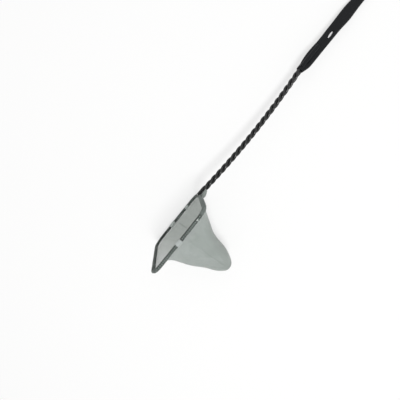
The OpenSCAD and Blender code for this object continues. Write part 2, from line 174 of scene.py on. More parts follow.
class NetFrame:
    """Puts points of the net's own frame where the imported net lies."""

    def __init__(self, record: Mapping[str, Any], eye: Points) -> None:
        """Read the lie of the net from the hanging eye's mount.

        Args:
            record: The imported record.
            eye: The eye's centre in the net's own frame, in millimetres.
        """
        mount = next(m for m in record["mounts"] if m["name"] == "hanging_eye")
        axis = Vector(mount["axis"]).normalized()
        pitch = Matrix.Rotation(math.asin(axis.x), 4, "Y")
        lean = Matrix.Rotation(math.atan2(-axis.y, axis.z), 4, "X")
        self.turn = lean @ pitch
        self.shift = Vector(mount["pos_m"]) - self.turn @ (Vector(eye) * MM)

    def place(self, points: Points) -> Points:
        """Return millimetre points of the net's frame as metres in the shared frame."""
        turn = np.array(self.turn.to_3x3())
        return np.asarray(points, float) @ turn.T * MM + np.array(self.shift)

    def point(self, x: float, y: float, z: float) -> Vector:
        """Return one millimetre point of the net's frame as metres in the shared frame."""
        return Vector(self.place(np.array([[x, y, z]]))[0])

    def direction(self, v: Sequence[float]) -> Vector:
        """Turn a direction of the net's frame into the shared frame."""
        return self.turn.to_3x3() @ Vector(v)


# Meshes


def finish_mesh(obj: bpy.types.Object, sharp: float = 40.0) -> None:
    """Shade a mesh smooth, with an edge wherever it turns by more than sharp degrees."""
    obj.data.shade_smooth()
    obj.data.set_sharp_from_angle(angle=math.radians(sharp))


def mesh_object(
    name: str, points: Points, faces: Sequence[Sequence[int]] = (), edges: Sequence[tuple[int, int]] = ()
) -> bpy.types.Object:
    """Make a mesh object.

    Args:
        name: Name of the object and of its mesh.
        points: The points, in metres.
        faces: Each face's point numbers.
        edges: Each loose edge's point numbers.

    Returns:
        The new object.
    """
    mesh = bpy.data.meshes.new(name)
    mesh.from_pydata([tuple(p) for p in points], edges, [tuple(f) for f in faces])
    mesh.update()
    obj = bpy.data.objects.new(name, mesh)
    bpy.context.scene.collection.objects.link(obj)
    return obj


def apply_modifiers(obj: bpy.types.Object) -> None:
    """Turn an object's modifiers into plain mesh.

    Args:
        obj: The object, which keeps its name and its mesh's name.
    """
    bpy.context.view_layer.update()
    mesh = bpy.data.meshes.new_from_object(obj.evaluated_get(bpy.context.evaluated_depsgraph_get()))
    obj.modifiers.clear()
    old, obj.data = obj.data, mesh
    name = old.name
    bpy.data.meshes.remove(old)
    mesh.name = name


def grid_object(
    name: str, grid: Points, uv: Points, closed: bool = False, pole: bool = False, turned: bool = False
) -> bpy.types.Object:
    """Make a mesh from rows of points, with a UV map in metres.

    Args:
        name: Name of the object.
        grid: Points as rows by columns by 3, in metres.
        uv: Map as rows by columns by 2; a closed grid has one column more.
        closed: Whether the last column joins the first.
        pole: Whether the last row is one point.
        turned: Whether the faces turn the other way round.

    Returns:
        The new object.
    """
    rows, cols = grid.shape[:2]
    solid_rows = rows - 1 if pole else rows
    points = grid[:solid_rows].reshape(-1, 3)
    if pole:
        points = np.vstack([points, grid[-1, 0]])
    faces, corners = [], []
    for i in range(rows - 1):
        for j in range(cols if closed else cols - 1):
            k = (j + 1) % cols
            if pole and i == rows - 2:
                face = [i * cols + j, i * cols + k, len(points) - 1]
                corner = [uv[i, j], uv[i, j + 1], (uv[i + 1, j] + uv[i + 1, j + 1]) / 2]
            else:
                face = [i * cols + j, i * cols + k, (i + 1) * cols + k, (i + 1) * cols + j]
                corner = [uv[i, j], uv[i, j + 1], uv[i + 1, j + 1], uv[i + 1, j]]
            faces.append(face[::-1] if turned else face)
            corners.extend(corner[::-1] if turned else corner)
    obj = mesh_object(name, points, faces)
    layer = obj.data.uv_layers.new(name="UVMap")
    layer.data.foreach_set("uv", np.array(corners, np.float32).ravel())
    return obj


def tube_grid(
    path: Points, radius: Callable[[int, float], float], sides: int, ref: Points
) -> tuple[Points, Points]:
    """Sweep a closed section along a path.

    Args:
        path: Points of the path, in millimetres.
        radius: Gives the radius for a point's number and an angle, which is -90 degrees toward -ref.
        sides: Number of points round the section.
        ref: A direction that the path never follows.

    Returns:
        The points as rows by columns by 3, and their map as rows by columns plus one by 2, in millimetres.
    """
    along, mids = tangents(path), lengths(path)
    turns = np.linspace(0, 2 * math.pi, sides + 1)
    grid = np.zeros((len(path), sides, 3))
    uv = np.zeros((len(path), sides + 1, 2))
    for i, (p, t) in enumerate(zip(path, along)):
        a = unit(np.cross(ref, t))
        b = np.cross(t, a)
        for j, g in enumerate(turns):
            r = radius(i, g)
            uv[i, j] = (mids[i], g * radius(i, 0.0))
            if j < sides:
                grid[i, j] = p + r * (math.cos(g) * a + math.sin(g) * b)
    return grid, uv


# Node trees


class Value:
    """A node's output, on which Python's own arithmetic adds Math nodes."""

    def __init__(self, graph: "Graph", socket: bpy.types.NodeSocket) -> None:
        """Hold the socket and the graph that it belongs to."""
        self.graph = graph
        self.socket = socket

    def math(self, operation: str, *others: "Value | float", first: "Value | float | None" = None) -> "Value":
        """Add a Math node on this value.

        Args:
            operation: The Math node's operation.
            others: The operands that follow this value.
            first: An operand that comes before it.

        Returns:
            The node's result.
        """
        operands = ([] if first is None else [first]) + [self, *others]
        return self.graph.node("ShaderNodeMath", {"operation": operation}, dict(enumerate(operands)))

    def __add__(self, other: "Value | float") -> "Value":
        """Add."""
        return self.math("ADD", other)

    __radd__ = __add__

    def __sub__(self, other: "Value | float") -> "Value":
        """Subtract."""
        return self.math("SUBTRACT", other)

    def __rsub__(self, other: float) -> "Value":
        """Subtract this value from a number."""
        return self.math("SUBTRACT", first=other)

    def __mul__(self, other: "Value | float") -> "Value":
        """Multiply."""
        return self.math("MULTIPLY", other)

    __rmul__ = __mul__

    def beside(self, output: str) -> "Value":
        """Return another output of this value's node."""
        return Value(self.graph, self.socket.node.outputs[output])

    def wave(self, pitch: float) -> "Value":
        """Return the size of a sine of this length, which is nought at every pitch."""
        return (self * (math.pi / pitch)).math("SINE").math("ABSOLUTE")

    def step(self, low: float, high: float, start: float = 0.0, end: float = 1.0) -> "Value":
        """Ease from start to end while this value goes from low to high.

        Args:
            low: Where this value starts to ease.
            high: Where it has eased.
            start: The result below low.
            end: The result above high.

        Returns:
            The eased value.
        """
        settings = {"interpolation_type": "SMOOTHSTEP"}
        sockets = {"Value": self, "From Min": low, "From Max": high, "To Min": start, "To Max": end}
        return self.graph.node("ShaderNodeMapRange", settings, sockets)


@dataclass(frozen=True)
class Mottle:
    """Noise over a surface: its cells a metre, how fine it goes, and what its coordinates are scaled by."""

    cells: float
    detail: float = 3.0
    stretch: tuple[float, float, float] = (1.0, 1.0, 1.0)


class Graph:
    """A node tree of a material or of geometry nodes, written from Python."""

    def __init__(self, tree: bpy.types.NodeTree) -> None:
        """Empty the tree and hold it."""
        self.tree = tree
        tree.nodes.clear()

    def node(
        self,
        kind: str,
        settings: Mapping[str, Any] | None = None,
        sockets: Mapping[str | int, Any] | None = None,
        output: str | int = 0,
    ) -> Value:
        """Add a node.

        Args:
            kind: The node's type.
            settings: Properties of the node, set before its sockets.
            sockets: Values or links of its inputs, by name or by number.
            output: The output wanted, by name or by number.

        Returns:
            That output.
        """
        made = self.tree.nodes.new(kind)
        for name, value in (settings or {}).items():
            setattr(made, name, value)
        for key, value in (sockets or {}).items():
            if isinstance(value, Value):
                self.tree.links.new(value.socket, made.inputs[key])
            else:
                made.inputs[key].default_value = value
        return Value(self, made.outputs[output]) if len(made.outputs) else Value(self, made.inputs[0])

    def mix(self, low: Any, high: Any, factor: Value | float) -> Value:
        """Mix two colours."""
        settings = {"data_type": "RGBA", "clamp_factor": True}
        return self.node("ShaderNodeMix", settings, {0: factor, 6: rgba(low), 7: rgba(high)}, 2)

    def noise(self, mottle: Mottle) -> Value:
        """Add noise over the object's own coordinates.

        Args:
            mottle: Its sizes.

        Returns:
            The noise, from 0 to 1.
        """
        place = self.node("ShaderNodeTexCoord", output="Object")
        place = self.node("ShaderNodeMapping", None, {"Vector": place, "Scale": mottle.stretch})
        sockets = {"Vector": place, "Scale": mottle.cells, "Detail": mottle.detail}
        return self.node("ShaderNodeTexNoise", None, sockets)

    def bump(self, height: Value, distance: float, strength: float = 1.0) -> Value:
        """Return a normal that a height in shares of distance bends."""
        sockets = {"Height": height, "Distance": distance, "Strength": strength}
        return self.node("ShaderNodeBump", None, sockets)


def rgba(colour: Any) -> Any:
    """Return a colour with full alpha, or a value as it is."""
    return (*colour, 1.0) if isinstance(colour, tuple) and len(colour) == 3 else colour


def geometry_tree(name: str, sizes: Mapping[str, str]) -> tuple[Graph, dict[str, Value]]:
    """Start a geometry tree with named inputs.

    Args:
        name: Name of the tree.
        sizes: Each input's name and socket type, after Geometry.

    Returns:
        The graph and the values of its inputs.
    """
    tree = bpy.data.node_groups.new(name, "GeometryNodeTree")
    graph = Graph(tree)
    tree.interface.new_socket("Geometry", in_out="OUTPUT", socket_type="NodeSocketGeometry")
    for label, kind in {"Geometry": "NodeSocketGeometry", **sizes}.items():
        tree.interface.new_socket(label, in_out="INPUT", socket_type=kind)
    source = tree.nodes.new("NodeGroupInput")
    return graph, {s.name: Value(graph, s) for s in source.outputs if s.name}


def end_tree(graph: Graph, geometry: Value, material: Value) -> bpy.types.NodeTree:
    """Realize what a geometry tree makes, give it its material and return the tree.

    Args:
        graph: The tree's graph.
        geometry: What it makes.
        material: The material's input.

    Returns:
        The tree.
    """
    real = graph.node("GeometryNodeRealizeInstances", None, {"Geometry": geometry})
    done = graph.node("GeometryNodeSetMaterial", None, {"Geometry": real, "Material": material})
    graph.node("NodeGroupOutput", None, {"Geometry": done})
    return graph.tree


def grown(name: str, path: Points, tree: bpy.types.NodeTree, sizes: Mapping[str, Any]) -> bpy.types.Object:
    """Run a geometry tree on a line and keep the result as a plain mesh.

    Args:
        name: Name of the new object.
        path: The line's points, in metres.
        tree: The geometry tree.
        sizes: Values of its named inputs.

    Returns:
        The new object.
    """
    obj = mesh_object(name, path, edges=[(i, i + 1) for i in range(len(path) - 1)])
    modifier = obj.modifiers.new(name, "NODES")
    modifier.node_group = tree
    for item in tree.interface.items_tree:
        if item.item_type == "SOCKET" and item.in_out == "INPUT" and item.name in sizes:
            modifier[item.identifier] = sizes[item.name]
    apply_modifiers(obj)
    return obj


def sweep_tree() -> bpy.types.NodeTree:
    """Build the tree that lays a round wire along a line.

    Returns:
        The tree.
    """
    sizes = {"Radius": "NodeSocketFloat", "Sides": "NodeSocketInt", "Material": "NodeSocketMaterial"}
    graph, given = geometry_tree("Wire along a line", sizes)
    line = graph.node("GeometryNodeMeshToCurve", None, {0: given["Geometry"]})
    ring = graph.node("GeometryNodeCurvePrimitiveCircle", None, {0: given["Sides"], 4: given["Radius"]})
    wire = graph.node("GeometryNodeCurveToMesh", None, {0: line, 1: ring, "Fill Caps": True})
    return end_tree(graph, wire, given["Material"])


class Sewing(Enum):
    """How thread lies at each place of a row; the value is the seed of its unevenness."""

    STITCH = 7
    LOOP = 11


@dataclass(frozen=True)
class ThreadRow:
    """A row of stitches or loops along a path, in millimetres and degrees.

    Reach is a stitch's length or a loop's radius. Twist is the share of the slant that turns it sideways, and
    sharp the least angle that is shaded as an edge.
    """

    sewing: Sewing
    spacing: float
    reach: float
    radius: float
    least_slant: float
    most_slant: float
    twist: float = 0.0
    sharp: float = 60.0


def one_stitch(graph: Graph, sewing: Sewing, reach: Value, radius: Value) -> Value:
    """Make one short stitch, or one loop round the line.

    Args:
        graph: The tree's graph.
        sewing: Which of the two it is.
        reach: Length of the stitch, or radius of the loop.
        radius: Radius of the thread.

    Returns:
        The thread's mesh.
    """
    if sewing is Sewing.LOOP:
        corners, sides = 14, 4
        core = graph.node("GeometryNodeCurvePrimitiveCircle", None, {0: corners, 4: reach})
    else:
        sides = 6
        low, high = (graph.node("ShaderNodeCombineXYZ", None, {"Z": reach * share}) for share in (-0.5, 0.5))
        core = graph.node("GeometryNodeCurvePrimitiveLine", None, {0: low, 1: high})
    section = graph.node("GeometryNodeCurvePrimitiveCircle", None, {0: sides, 4: radius})
    sockets = {0: core, 1: section, "Fill Caps": sewing is Sewing.STITCH}
    return graph.node("GeometryNodeCurveToMesh", None, sockets)


def thread_tree(sewing: Sewing) -> bpy.types.NodeTree:
    """Build the tree that sets stitches, or loops of thread, in a row along a line.

    Args:
        sewing: Which of the two it sets, and the seed.

    Returns:
        The tree.
    """
    floats = ("Spacing", "Reach", "Thread radius", "Least slant", "Most slant", "Twist")
    sizes = {**dict.fromkeys(floats, "NodeSocketFloat"), "Material": "NodeSocketMaterial"}
    graph, given = geometry_tree(f"Row of thread, {sewing.name.lower()}", sizes)
    line = graph.node("GeometryNodeMeshToCurve", None, {0: given["Geometry"]})
    spacing = {0: line, "Length": given["Spacing"]}
    spots = graph.node("GeometryNodeCurveToPoints", {"mode": "LENGTH"}, spacing, "Points")
    stitch = one_stitch(graph, sewing, given["Reach"], given["Thread radius"])
    slants = {2: given["Least slant"], 3: given["Most slant"], "Seed": sewing.value}
    lean = graph.node("FunctionNodeRandomValue", {"data_type": "FLOAT"}, slants, 1)
    tilt = graph.node("ShaderNodeCombineXYZ", None, {"X": lean, "Y": lean * given["Twist"]})
    turns = {0: spots.beside("Rotation"), 1: graph.node("FunctionNodeEulerToRotation", None, {0: tilt})}
    turned = graph.node("FunctionNodeRotateRotation", {"rotation_space": "LOCAL"}, turns)
    placed = {"Points": spots, "Instance": stitch, "Rotation": turned}
    return end_tree(graph, graph.node("GeometryNodeInstanceOnPoints", None, placed), given["Material"])


# Finishes


@dataclass(frozen=True)
class Finish:
    """What every surface finish has: a name, a colour and a roughness."""

    name: str
    colour: Colour
    roughness: float = 0.8

    def build(self) -> bpy.types.Material:
        """Make the finish's material.

        Returns:
            The material.
        """
        material = bpy.data.materials.new(self.name)
        material.use_nodes = True
        graph = Graph(material.node_tree)
        self.shade(graph)
        return material

    def shade(self, graph: Graph) -> None:
        """Fill the material's graph."""
        raise NotImplementedError

    def toned(self, gain: float, lift: float = 0.0) -> Colour:
        """Return the finish's colour, made lighter or darker."""
        return tuple(part * gain + lift for part in self.colour)

    def uneven(self, where: Value, spread: float) -> Value:
        """Return a roughness that spreads about the finish's own."""
        return where * spread + (self.roughness - spread / 2)

    def surface(self, graph: Graph, **sockets: Any) -> None:
        """Add the surface shader and the output.

        Args:
            graph: The material's graph.
            sockets: Values or links, named with _ for a space.
        """
        named = {key.replace("_", " "): value for key, value in sockets.items()}
        shader = graph.node("ShaderNodeBsdfPrincipled", None, named)
        graph.node("ShaderNodeOutputMaterial", None, {"Surface": shader})


@dataclass(frozen=True)
class DrawnSteel(Finish):
    """The bright wire core, with fine drawing marks along X and a faint dullness in places."""

    marks: Mottle = Mottle(2200.0, 2.0, (0.05, 1.0, 1.0))
    mark_depth: float = 0.02 * MM
    dull: Mottle = Mottle(260.0)
    dull_reach: tuple[float, float] = (0.45, 0.75)
    dull_tone: float = 0.72
    dull_spread: float = 0.2

    def shade(self, graph: Graph) -> None:
        """Fill the graph with steel.

        Args:
            graph: The material's graph.
        """
        dull = graph.noise(self.dull)
        self.surface(
            graph,
            Base_Color=graph.mix(self.colour, self.toned(self.dull_tone), dull.step(*self.dull_reach)),
            Metallic=1.0,
            Roughness=self.uneven(dull, self.dull_spread),
            Normal=graph.bump(graph.noise(self.marks), self.mark_depth),
        )


@dataclass(frozen=True)
class Vinyl(Finish):
    """Black vinyl: the smooth coating of the wire, or the soft skin that the grip was dipped in.

    Worn places are paler. Slow runs and a fine grain are what the bath leaves.
    """

    gloss: float = 0.0
    gloss_roughness: float = 0.14
    shine: float = 0.1
    worn: Mottle = Mottle(520.0, 5.0)
    worn_reach: tuple[float, float] = (0.55, 0.85)
    worn_tone: tuple[float, float] = (1.7, 0.003)
    worn_spread: float = 0.14
    runs: Mottle = Mottle(120.0, 3.0, (0.25, 1.0, 1.0))
    grain: Mottle = Mottle(3200.0, 2.0)
    grain_share: float = 0.25
    relief: float = 0.09 * MM
    relief_strength: float = 0.5

    def shade(self, graph: Graph) -> None:
        """Fill the graph with vinyl.

        Args:
            graph: The material's graph.
        """
        worn = graph.noise(self.worn)
        relief = graph.noise(self.runs) * (1 - self.grain_share) + graph.noise(self.grain) * self.grain_share
        self.surface(
            graph,
            Base_Color=graph.mix(self.colour, self.toned(*self.worn_tone), worn.step(*self.worn_reach)),
            Roughness=self.uneven(worn, self.worn_spread),
            Specular_IOR_Level=self.shine,
            Coat_Weight=self.gloss,
            Coat_Roughness=self.gloss_roughness,
            Normal=graph.bump(relief, self.relief, self.relief_strength),
        )


@dataclass(frozen=True)
class Knit:
    """A mesh's weave: its pitch, where a hole starts and is full, and how much yarn still covers a hole.

    Slope is how far the yarns lean over, and drift how many pitches they wander.
    """

    pitch: float = 0.8 * MM
    hole_start: float = 0.34
    hole_end: float = 0.56
    hole_cover: float = 0.3
    slope: float = 0.62
    drift: float = 1.5


@dataclass(frozen=True)
class KnitMesh(Finish):
    """Fine knitted nylon mesh, whose holes are see-through.

    Rungs are the pale thread that shows across the crown of a hem; the band along the crown that they lie in
    is a painted highlight. The cloth fades to its shade colour over the first fade metres of its depth, and
    turns to its under colour, a painted shade that is darker and greener, on the lower half of the bag.
    """

    shade_colour: Colour = (0.3, 0.32, 0.31)
    knit: Knit = Knit()
    wander: Mottle = Mottle(70.0, 2.0)
    tone: Mottle = Mottle(46.0)
    tone_reach: tuple[float, float] = (0.35, 0.75)
    tone_share: float = 0.45
    speckle: Mottle = Mottle(900.0, 2.0)
    speckle_share: float = 0.2
    shine: float = 0.25
    sheen: float = 0.15
    sheen_roughness: float = 0.5
    relief: float = 0.12 * MM
    relief_strength: float = 0.5
    yarn_share: float = 0.7
    rungs: float = 0.0
    rung_reach: tuple[float, float] = (0.3, 0.7)
    rung_share: float = 0.75
    rung_pitch: float = 2.1 * MM
    rung_wander: float = 0.6 * MM
    # The crown's band is a painted highlight along the top of the hem, paler still where the rungs of thread
    # cross it.
    crown_at: float = 0.4 * MM
    crown_reach: tuple[float, float] = (0.965, 0.998)
    rung_and_highlight_paleness: float = 4.2
    girth: float = 10.4 * MM
    fade: float = 0.0
    fade_share: float = 0.6
    # The under colour and its reach are painted shade: a darker, greener colour on the lower half of the bag.
    under: Colour | None = None
    painted_shade_from: float = -4.0 * MM
    painted_shade_to: float = 10.0 * MM
    painted_shade_share: float = 0.85

    def shade(self, graph: Graph) -> None:
        """Diamond holes between slanting yarns, on the cloth's own map, with soft changes of tone.

        Args:
            graph: The material's graph.
        """
        knit = self.knit
        cloth = graph.node("ShaderNodeUVMap", {"uv_map": "UVMap"})
        u = graph.node("ShaderNodeSeparateXYZ", None, {0: cloth}, "X")
        v = u.beside("Y")
        wander = graph.noise(self.wander)
        drift = (wander - 0.5) * knit.pitch * knit.drift
        left = (u + v * knit.slope + drift).wave(knit.pitch)
        right = (u - v * knit.slope - drift).wave(knit.pitch)
        hole = (left * right).step(knit.hole_start, knit.hole_end)
        cover = 1 - hole * (1 - knit.hole_cover)
        fine = graph.noise(self.speckle)
        tone = graph.noise(self.tone).step(*self.tone_reach)
        amount = tone * self.tone_share + fine * self.speckle_share
        if self.fade:
            amount = amount + v.step(0.0, self.fade) * self.fade_share
        colour = graph.mix(self.colour, self.shade_colour, amount)
        if self.rungs:
            rung = (u + wander * self.rung_wander).wave(self.rung_pitch).step(*self.rung_reach, 1.0, 0.0)
            # Painted highlight: a pale band along the crown of the hem, with the rungs of real thread across
            # it.
            crown = (v + (self.girth / 2 - self.crown_at)).wave(self.girth).step(*self.crown_reach)
            seen = crown * (rung * self.rung_share + (1 - self.rung_share)) * self.rungs
            colour = graph.mix(colour, self.toned(self.rung_and_highlight_paleness), seen)
            cover = (cover + rung * crown * self.rungs).math("MINIMUM", 1.0)
        # Painted shade: the lower half of the bag turns to the darker, greener under colour.
        if self.under:
            colour = graph.mix(colour, self.under, u.step(self.painted_shade_from, self.painted_shade_to) * self.painted_shade_share)
        relief = (1 - hole) * self.yarn_share + fine * (1 - self.yarn_share)
        self.surface(
            graph,
            Base_Color=colour,
            Roughness=self.roughness,
            Specular_IOR_Level=self.shine,
            Sheen_Weight=self.sheen,
            Sheen_Roughness=self.sheen_roughness,
            Alpha=cover,
            Normal=graph.bump(relief, self.relief, self.relief_strength),
        )


@dataclass(frozen=True)
class SewnThread(Finish):
    """Pale nylon thread, with the light and dark of its plies and a little grime."""

    plies: Mottle = Mottle(2600.0, 2.0, (1.0, 0.4, 1.0))
    plies_share: float = 0.3
    plies_depth: float = 0.05 * MM
    grime: Mottle = Mottle(300.0)
    grime_reach: tuple[float, float] = (0.4, 0.8)
    grime_share: float = 0.6
    grime_tone: float = 0.6
    sheen: float = 0.2

    def shade(self, graph: Graph) -> None:
        """Fill the graph with thread.

        Args:
            graph: The material's graph.
        """
        plies = graph.noise(self.plies)
        grime = graph.noise(self.grime).step(*self.grime_reach)
        dark = grime * self.grime_share + plies * self.plies_share
        self.surface(
            graph,
            Base_Color=graph.mix(self.colour, self.toned(self.grime_tone), dark),
            Roughness=self.roughness,
            Sheen_Weight=self.sheen,
            Normal=graph.bump(plies, self.plies_depth),
        )


@dataclass(frozen=True)
class StudioFloor(Finish):
    """The pale floor, which the camera and reflections see as nearly white."""

    paleness: float = 0.62
    clouds: Mottle = Mottle(3.0, 2.0)
    cloud_tone: float = 0.985

    def shade(self, graph: Graph) -> None:
        """Fill the graph with the lit floor, and with plain white laid over it for what is seen.

        Args:
            graph: The material's graph.
        """
        colour = graph.mix(self.colour, self.toned(self.cloud_tone), graph.noise(self.clouds))
        lit = graph.node("ShaderNodeBsdfDiffuse", None, {"Color": colour})
        white = graph.node("ShaderNodeEmission", None, {"Color": rgba(WHITE), "Strength": 1.0})
        seen = graph.node("ShaderNodeMixShader", None, {0: seen_ray(graph) * self.paleness, 1: lit, 2: white})
        graph.node("ShaderNodeOutputMaterial", None, {"Surface": seen})


def seen_ray(graph: Graph) -> Value:
    """Tell the rays that are seen straight, in a reflection or through the mesh.

    Args:
        graph: The graph of the floor's material or of the world.

    Returns:
        One for such a ray, and else nought.
    """
    seen = graph.node("ShaderNodeLightPath", output="Is Camera Ray")
    mirrored, through = seen.beside("Is Glossy Ray"), seen.beside("Is Transmission Ray")
    return seen.math("MAXIMUM", mirrored).math("MAXIMUM", through)


class Finishes:
    """All the finishes of the net, each made once."""

    def __init__(self) -> None:
        """Make the materials and the geometry trees that the pieces share."""
        self.steel = DrawnSteel("drawn_steel", (0.56, 0.55, 0.53), 0.34).build()
        coat = Mottle(380.0, 4.0)
        self.wire = Vinyl(
            "coated_wire",
            (0.0105, 0.011, 0.011),
            roughness=0.23,
            gloss=0.1,
            shine=0.3,
            worn=coat,
            worn_reach=(0.52, 0.8),
            worn_tone=(1.9, 0.004),
            runs=coat,
            grain=Mottle(2600.0, 2.0),
            grain_share=0.3,
            relief=0.06 * MM,
            relief_strength=0.6,
        ).build()
        self.grip = Vinyl("dipped_vinyl", (0.0095, 0.0102, 0.0115), 0.36).build()
        folded, doubled = Knit(0.9 * MM, 0.16, 0.42, 0.12), Knit(0.7 * MM, 0.75, 0.98, 0.9)
        # The bag's under colour is painted shade on its lower half.
        bag_looks = {"fade": 90.0 * MM, "under": (0.31, 0.362, 0.32)}
        self.mesh = self.cloth("knit", (0.4, 0.437, 0.422), (0.3, 0.338, 0.314), **bag_looks)
        self.hem = self.cloth("hem", (0.066, 0.079, 0.072), (0.044, 0.053, 0.048), knit=folded, rungs=0.8)
        end_looks = {"knit": folded, "rungs": 0.3}
        self.end_hem = self.cloth("end_hem", (0.17, 0.195, 0.182), (0.115, 0.135, 0.125), **end_looks)
        band, gathered = Knit(0.7 * MM, 0.3, 0.6, 0.6), Knit(0.7 * MM, 0.3, 0.6, 0.5)
        self.band = self.cloth("band", (0.2, 0.232, 0.216), (0.135, 0.158, 0.147), knit=band)
        self.gathered = self.cloth("gathered", (0.31, 0.345, 0.325), (0.2, 0.23, 0.215), knit=gathered)
        # Painted light: the cover cloth is the patch cloth made lighter, to offset the shade on the round
        # sleeves of the far hoop.
        self.cover = self.cloth("cover", (0.5, 0.54, 0.52), (0.42, 0.46, 0.44), knit=doubled)
        self.patch = self.cloth("patch", (0.42, 0.45, 0.44), (0.34, 0.37, 0.36), knit=doubled)
        self.thread = SewnThread("sewn_thread", (0.56, 0.6, 0.57), 0.7).build()
        self.dull_thread = SewnThread("dull_thread", (0.15, 0.172, 0.16), 0.75).build()
        self.seam = SewnThread("seam_thread", (0.46, 0.49, 0.48), 0.75).build()
        self.sweep = sweep_tree()
        self.sewing = {sewing: thread_tree(sewing) for sewing in Sewing}

    def cloth(self, name: str, colour: Colour, shade: Colour, **looks: Any) -> bpy.types.Material:
        """Make the material of a mesh cloth; looks are fields of KnitMesh."""
        return KnitMesh(f"{name}_mesh", colour, shade_colour=shade, **looks).build()


class Workshop:
    """What every sub-assembly needs: where the net lies, and the finishes."""

    def __init__(self, where: NetFrame, finishes: Finishes) -> None:
        """Hold the net's frame and the finishes."""
        self.where = where
        self.finishes = finishes

    def wire(
        self, name: str, path: Points, radius: float, material: bpy.types.Material, sides: int = 20
    ) -> bpy.types.Object:
        """Lay a round wire along a path.

        Args:
            name: Name of the piece.
            path: The wire's middle line, in the net's own frame.
            radius: Radius of the wire, in millimetres.
            material: Its material.
            sides: Number of sides that it has.

        Returns:
            The wire.
        """
        sizes = {"Radius": radius * MM, "Sides": sides, "Material": material}
        obj = grown(name, self.where.place(path), self.finishes.sweep, sizes)
        finish_mesh(obj)
        return obj

    def sew(self, name: str, path: Points, row: ThreadRow, material: bpy.types.Material) -> bpy.types.Object:
        """Set stitches or loops of thread in a row along a path.

        Args:
            name: Name of the piece.
            path: The row's line, in the net's own frame.
            row: Sizes of the row.
            material: The thread's material.

        Returns:
            The thread.
        """
        sizes = {
            "Spacing": row.spacing * MM,
            "Reach": row.reach * MM,
            "Thread radius": row.radius * MM,
            "Least slant": math.radians(row.least_slant),
            "Most slant": math.radians(row.most_slant),
            "Twist": row.twist,
            "Material": material,
        }
        obj = grown(name, self.where.place(path), self.finishes.sewing[row.sewing], sizes)
        finish_mesh(obj, row.sharp)
        return obj

    def cloth(
        self, name: str, grid: Points, uv: Points, material: bpy.types.Material, **shape: bool
    ) -> bpy.types.Object:
        """Make a piece of cloth, which never dips into the floor.

        Args:
            name: Name of the piece.
            grid: Points as rows by columns by 3, in the net's own frame.
            uv: Its own map, in millimetres.
            material: Its material.
            shape: Whether it is closed, has a pole or is turned, as grid_object has them.

        Returns:
            The cloth.
        """
        placed = self.where.place(grid.reshape(-1, 3)).reshape(grid.shape)
        placed[..., 2] = np.maximum(placed[..., 2], FLOOR_GAP)
        obj = grid_object(name, placed, uv * MM, **shape)
        obj.data.materials.append(material)
        finish_mesh(obj, sharp=80.0)
        return obj


def keep(obj: bpy.types.Object, slot: str, *nodes: str) -> bpy.types.Object:
    """Let a piece ride on the net and stand for the solids named.

    Args:
        obj: The piece.
        slot: Name of its material slot; not used.
        nodes: The solids that it stands for.

    Returns:
        The piece.
    """
    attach(obj, BODY)
    if nodes:
        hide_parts(*nodes)
    LOG.info("%s: %d faces, stands for %s", obj.name, len(obj.data.polygons), ", ".join(nodes) or "nothing")
    return obj


# The net


@dataclass(frozen=True)
class WireSizes:
    """Sizes of the coated wire, in millimetres."""

    diameter: float = 2.75
    play: float = 0.2
    strands: int = 3

    @property
    def radius(self) -> float:
        """Radius of the coated wire."""
        return self.diameter / 2

    @property
    def lay(self) -> float:
        """Radius from the shank's axis to the middle of a strand."""
        return (self.diameter + self.play) / math.sqrt(self.strands)


@dataclass(frozen=True)
class Legs:
    """Where the wire's two legs lie in the grip, up to the hanging eye, in millimetres."""

    start: float = 166.0
    reach: float = 108.0
    gap: float = 5.8
    near: float = 1.1
    low: float = 0.3

    @property
    def far(self) -> float:
        """Place across the grip of the leg on the bag's side."""
        return self.near - self.gap

    @property
    def eye(self) -> Points:
        """Centre of the hanging eye."""
        return np.array([self.start + self.reach, self.near - self.gap / 2, -self.low])


